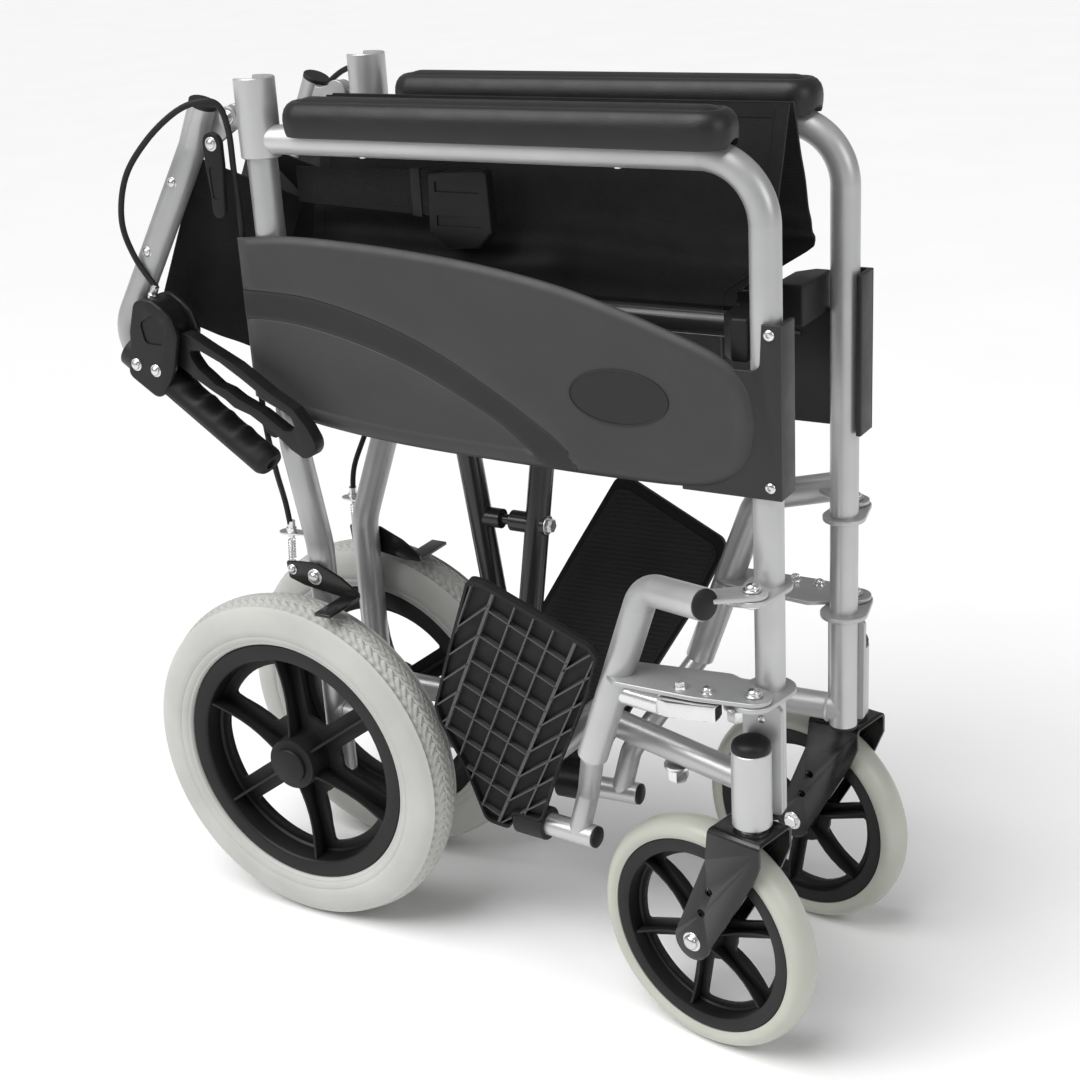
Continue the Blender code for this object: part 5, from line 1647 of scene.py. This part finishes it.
def plate_bars(inset, to_world):
    """The grid under the plate: rails along it, cross bars between them, slanted bars beside."""
    bars = []

    def bar(point, way, thick=0.0013, low=0.0060, high=0.0108, between=(-1.0, 1.0)):
        point, way = Vector(point), Vector(way).normalized()
        across = Vector((-way.y, way.x)) * thick / 2
        for t0, t1 in clip_line(inset, point, way):
            t0, t1 = max(t0, between[0]), min(t1, between[1])
            if t1 - t0 < 0.006:
                continue
            start, end = point + way * (t0 - 0.0008), point + way * (t1 + 0.0008)
            quad = [start + across, end + across, end - across, start - across]
            bars.append(prism([tuple(p) for p in quad], low, high, to_world))

    slope = Vector((-0.500, -0.866)).normalized()
    left = Vector((-0.0085, 0.2690))
    right = Vector((0.0560, 0.2300))
    for rail in (left, right):
        bar(rail, slope, 0.0026)
    for share in (0.27, 0.50, 0.74):
        bar(left.lerp(right, share), slope)
    cross = (right - left).normalized()
    for step in range(8):
        bar(left + slope * (0.020 + step * 0.0345), cross, between=(0.0, (right - left).length))
    lean = Vector((0.0560, 0.0440)).normalized()
    for step in range(7):
        bar(left + slope * (0.014 + 0.041 * step), lean, between=(-0.2, 0.0))
        bar(right + slope * (0.030 + 0.041 * step), lean, between=(0.0, 0.2))
    for start in (left + Vector((-0.022, 0.0)), left + Vector((-0.046, -0.010)),
                  right + Vector((0.018, -0.006))):
        bar(start, slope)
    return bars


def plate_tread(outline, to_world):
    """The rubber mat on the plate's top, with its flutes."""
    flutes = []
    for i in range(66):
        start = Vector((-0.02, 0.010 + i * 0.0042))
        for t0, t1 in clip_line(outline, start, Vector((1.0, 0.0))):
            if t1 - t0 < 0.010:
                continue
            a, b = start.x + t0 + 0.003, start.x + t1 - 0.003
            quad = [(a, start.y), (b, start.y), (b, start.y + 0.0020), (a, start.y + 0.0020)]
            flutes.append(prism(quad, 0.0028, 0.0036, to_world))
    return group(prism(outline, 0.0034, 0.0044, to_world), *flutes)


def footplate(side, s):
    """Moulded plate: a ribbed grid on the underside and a fluted rubber tread on the top."""
    name = "footplate_" + side
    pivot, ahead, out = foot_frame(s)
    up = Vector((0, 0, math.cos(FOOT_LEAN))) + out * math.sin(FOOT_LEAN)
    normal = out * math.cos(FOOT_LEAN) - Vector((0, 0, math.sin(FOOT_LEAN)))

    def to_world(a, b, w):
        return pivot + ahead * a + up * b + normal * w

    outline = round_corners(PLATE, 0.010)
    inset = scaled(outline, 0.968)
    skin = prism(outline, 0.0042, 0.0064, to_world)
    wall = carve(prism(outline, 0.0050, 0.0110, to_world), prism(inset, 0.0020, 0.0130, to_world))
    # The skin and rim wall take the darker copy of the plate's plastic: painted shade between the
    # ribs.
    put(group(skin, wall), name, "painted_shade_plastic", name, name)
    put(group(*plate_bars(inset, to_world)), "footplate_ribs_" + side, "rib_plastic", name)
    put(plate_tread(scaled(outline, 0.93), to_world), "footplate_tread_" + side, "black_rubber",
        name)
    bore = PIVOT_TUBE_R + GAP
    knuckle = lathe(turned(bore, bore + 0.0045, -0.060, -0.030, 0.0006), pivot, ahead, 40)
    put(knuckle, "footplate_knuckle_" + side, "black_plastic", name)


def latch_lever(side, s):
    """A pressed channel that locks the hanger, with a black thumb tip."""
    body = "latch_" + side
    outline = [(0.4380, 0.1130 * s), (0.4380, 0.1250 * s), (0.4000, 0.1310 * s),
               (0.3900, 0.1280 * s), (0.3920, 0.1180 * s)]
    middle = Vector((0.414, 0.1225 * s))
    hollow = [tuple(middle + (Vector(p) - middle) * 0.80) for p in outline]
    lever = flat_plate(round_corners(outline, 0.0035), 0.3045, 0.3170)
    soften(carve(lever, flat_plate(hollow, 0.3000, 0.3150)), 0.0008, 2)
    put(lever, "latch_lever_" + side, "bright_steel", body, "latch_lever_" + side)
    tip = [(0.4300, 0.1150 * s), (0.4385, 0.1120 * s), (0.4385, 0.1240 * s), (0.4310, 0.1250 * s)]
    tip = soften(flat_plate(round_corners(tip, 0.002), 0.3060, 0.3160), 0.0008)
    put(tip, "latch_tip_" + side, "black_plastic", body)
    pins = [bolt((x, y * s, 0.3048), (0, 0, -1), 0.0036, 0.0030)
            for x, y in ((0.4020, 0.1235), (0.4270, 0.1195))]
    put(group(*pins), "latch_pins_" + side, "bright_steel", body)


def lap_belt():
    """Half of the lap belt: folded webbing and a side-release buckle body."""
    body = "frame_right"
    strap = [(0.0500, 0.690), (0.0500, 0.662), (0.185, 0.656), (0.205, 0.650), (0.215, 0.684),
             (0.190, 0.692)]
    belt = soften(side_plate(strap, -0.0589, -0.0570), 0.0006, 2)
    keeper = soften(side_plate([(0.160, 0.693), (0.160, 0.656), (0.169, 0.655), (0.169, 0.693)],
                               -0.0602, -0.0560), 0.0008)
    put(belt, "lap_belt_right", "webbing", body, "lap_belt_right")
    outline = round_corners([(0.178, 0.690), (0.176, 0.645), (0.190, 0.632), (0.220, 0.634),
                             (0.232, 0.646), (0.230, 0.694)], 0.004)
    buckle = soften(side_plate(outline, -0.0630, -0.0520), 0.0018, 4)
    for z in (0.650, 0.676):
        carve(buckle, box((0.184, -0.0650, z), (0.223, -0.0618, z + 0.008)))
    put(group(buckle, keeper), "belt_buckle_right", "black_plastic", body)


# ---------------------------------------------------------------- light and floor


def lamp(name, kind, place, aim, **values):
    data = bpy.data.lights.new(name, kind)
    for key, value in values.items():
        setattr(data, key, value)
    obj = bpy.data.objects.new(name, data)
    bpy.context.scene.collection.objects.link(obj)
    obj.location = place
    obj.rotation_euler = (Vector(aim) - Vector(place)).to_track_quat("-Z", "Y").to_euler()


def stage():
    """A pale floor and one broad soft light, in dim surroundings that keep the blacks deep."""
    bpy.context.scene.view_settings.view_transform = "Standard"
    world = bpy.data.worlds.new("studio")
    world.use_nodes = True
    glow = world.node_tree.nodes["Background"].inputs
    glow["Color"].default_value = (1.0, 1.0, 1.0, 1.0)
    glow["Strength"].default_value = 0.32
    bpy.context.scene.world = world
    far = 40
    floor = mesh_object("floor", [(-far, -far, 0), (far, -far, 0), (far, far, 0), (-far, far, 0)],
                        [(0, 1, 2, 3)])
    look = Nodes("floor")
    colour = look.blend(look.spread(look.noise(3.0), 0, 1), (0.93, 0.93, 0.93), (0.95, 0.95, 0.95))
    look.link(colour, look.shader.inputs["Base Color"])
    look.shader.inputs["Roughness"].default_value = 0.9
    floor.data.materials.append(look.look)
    lamp("sun", "SUN", (-0.9, -1.5, 3.2), (0, 0, 0), energy=2.5, angle=math.radians(50))
    lamp("key", "AREA", (-1.3, -1.9, 2.0), (0, 0, 0.5), energy=16, size=1.2)
    lamp("rim", "AREA", (1.9, -0.5, 1.4), (0, 0, 0.4), energy=8, size=1.0)


def build():
    sides = (("left", 1), ("right", -1))
    for side, s in sides:
        brake_cable(side, s)
    stage()
    for side, s in sides:
        for make in (side_frame, rear_post, lower_rail, caster_housing, side_panel, armrest_pad,
                     rear_wheel, caster, seat_rail, seat_sling, back_tube, push_grip, brake_mount,
                     brake_lever, back_flaps, release_lever, brake_arm, cable_stop, hanger,
                     footplate, latch_lever):
            make(side, s)
    cross_brace()
    lap_belt()


build()
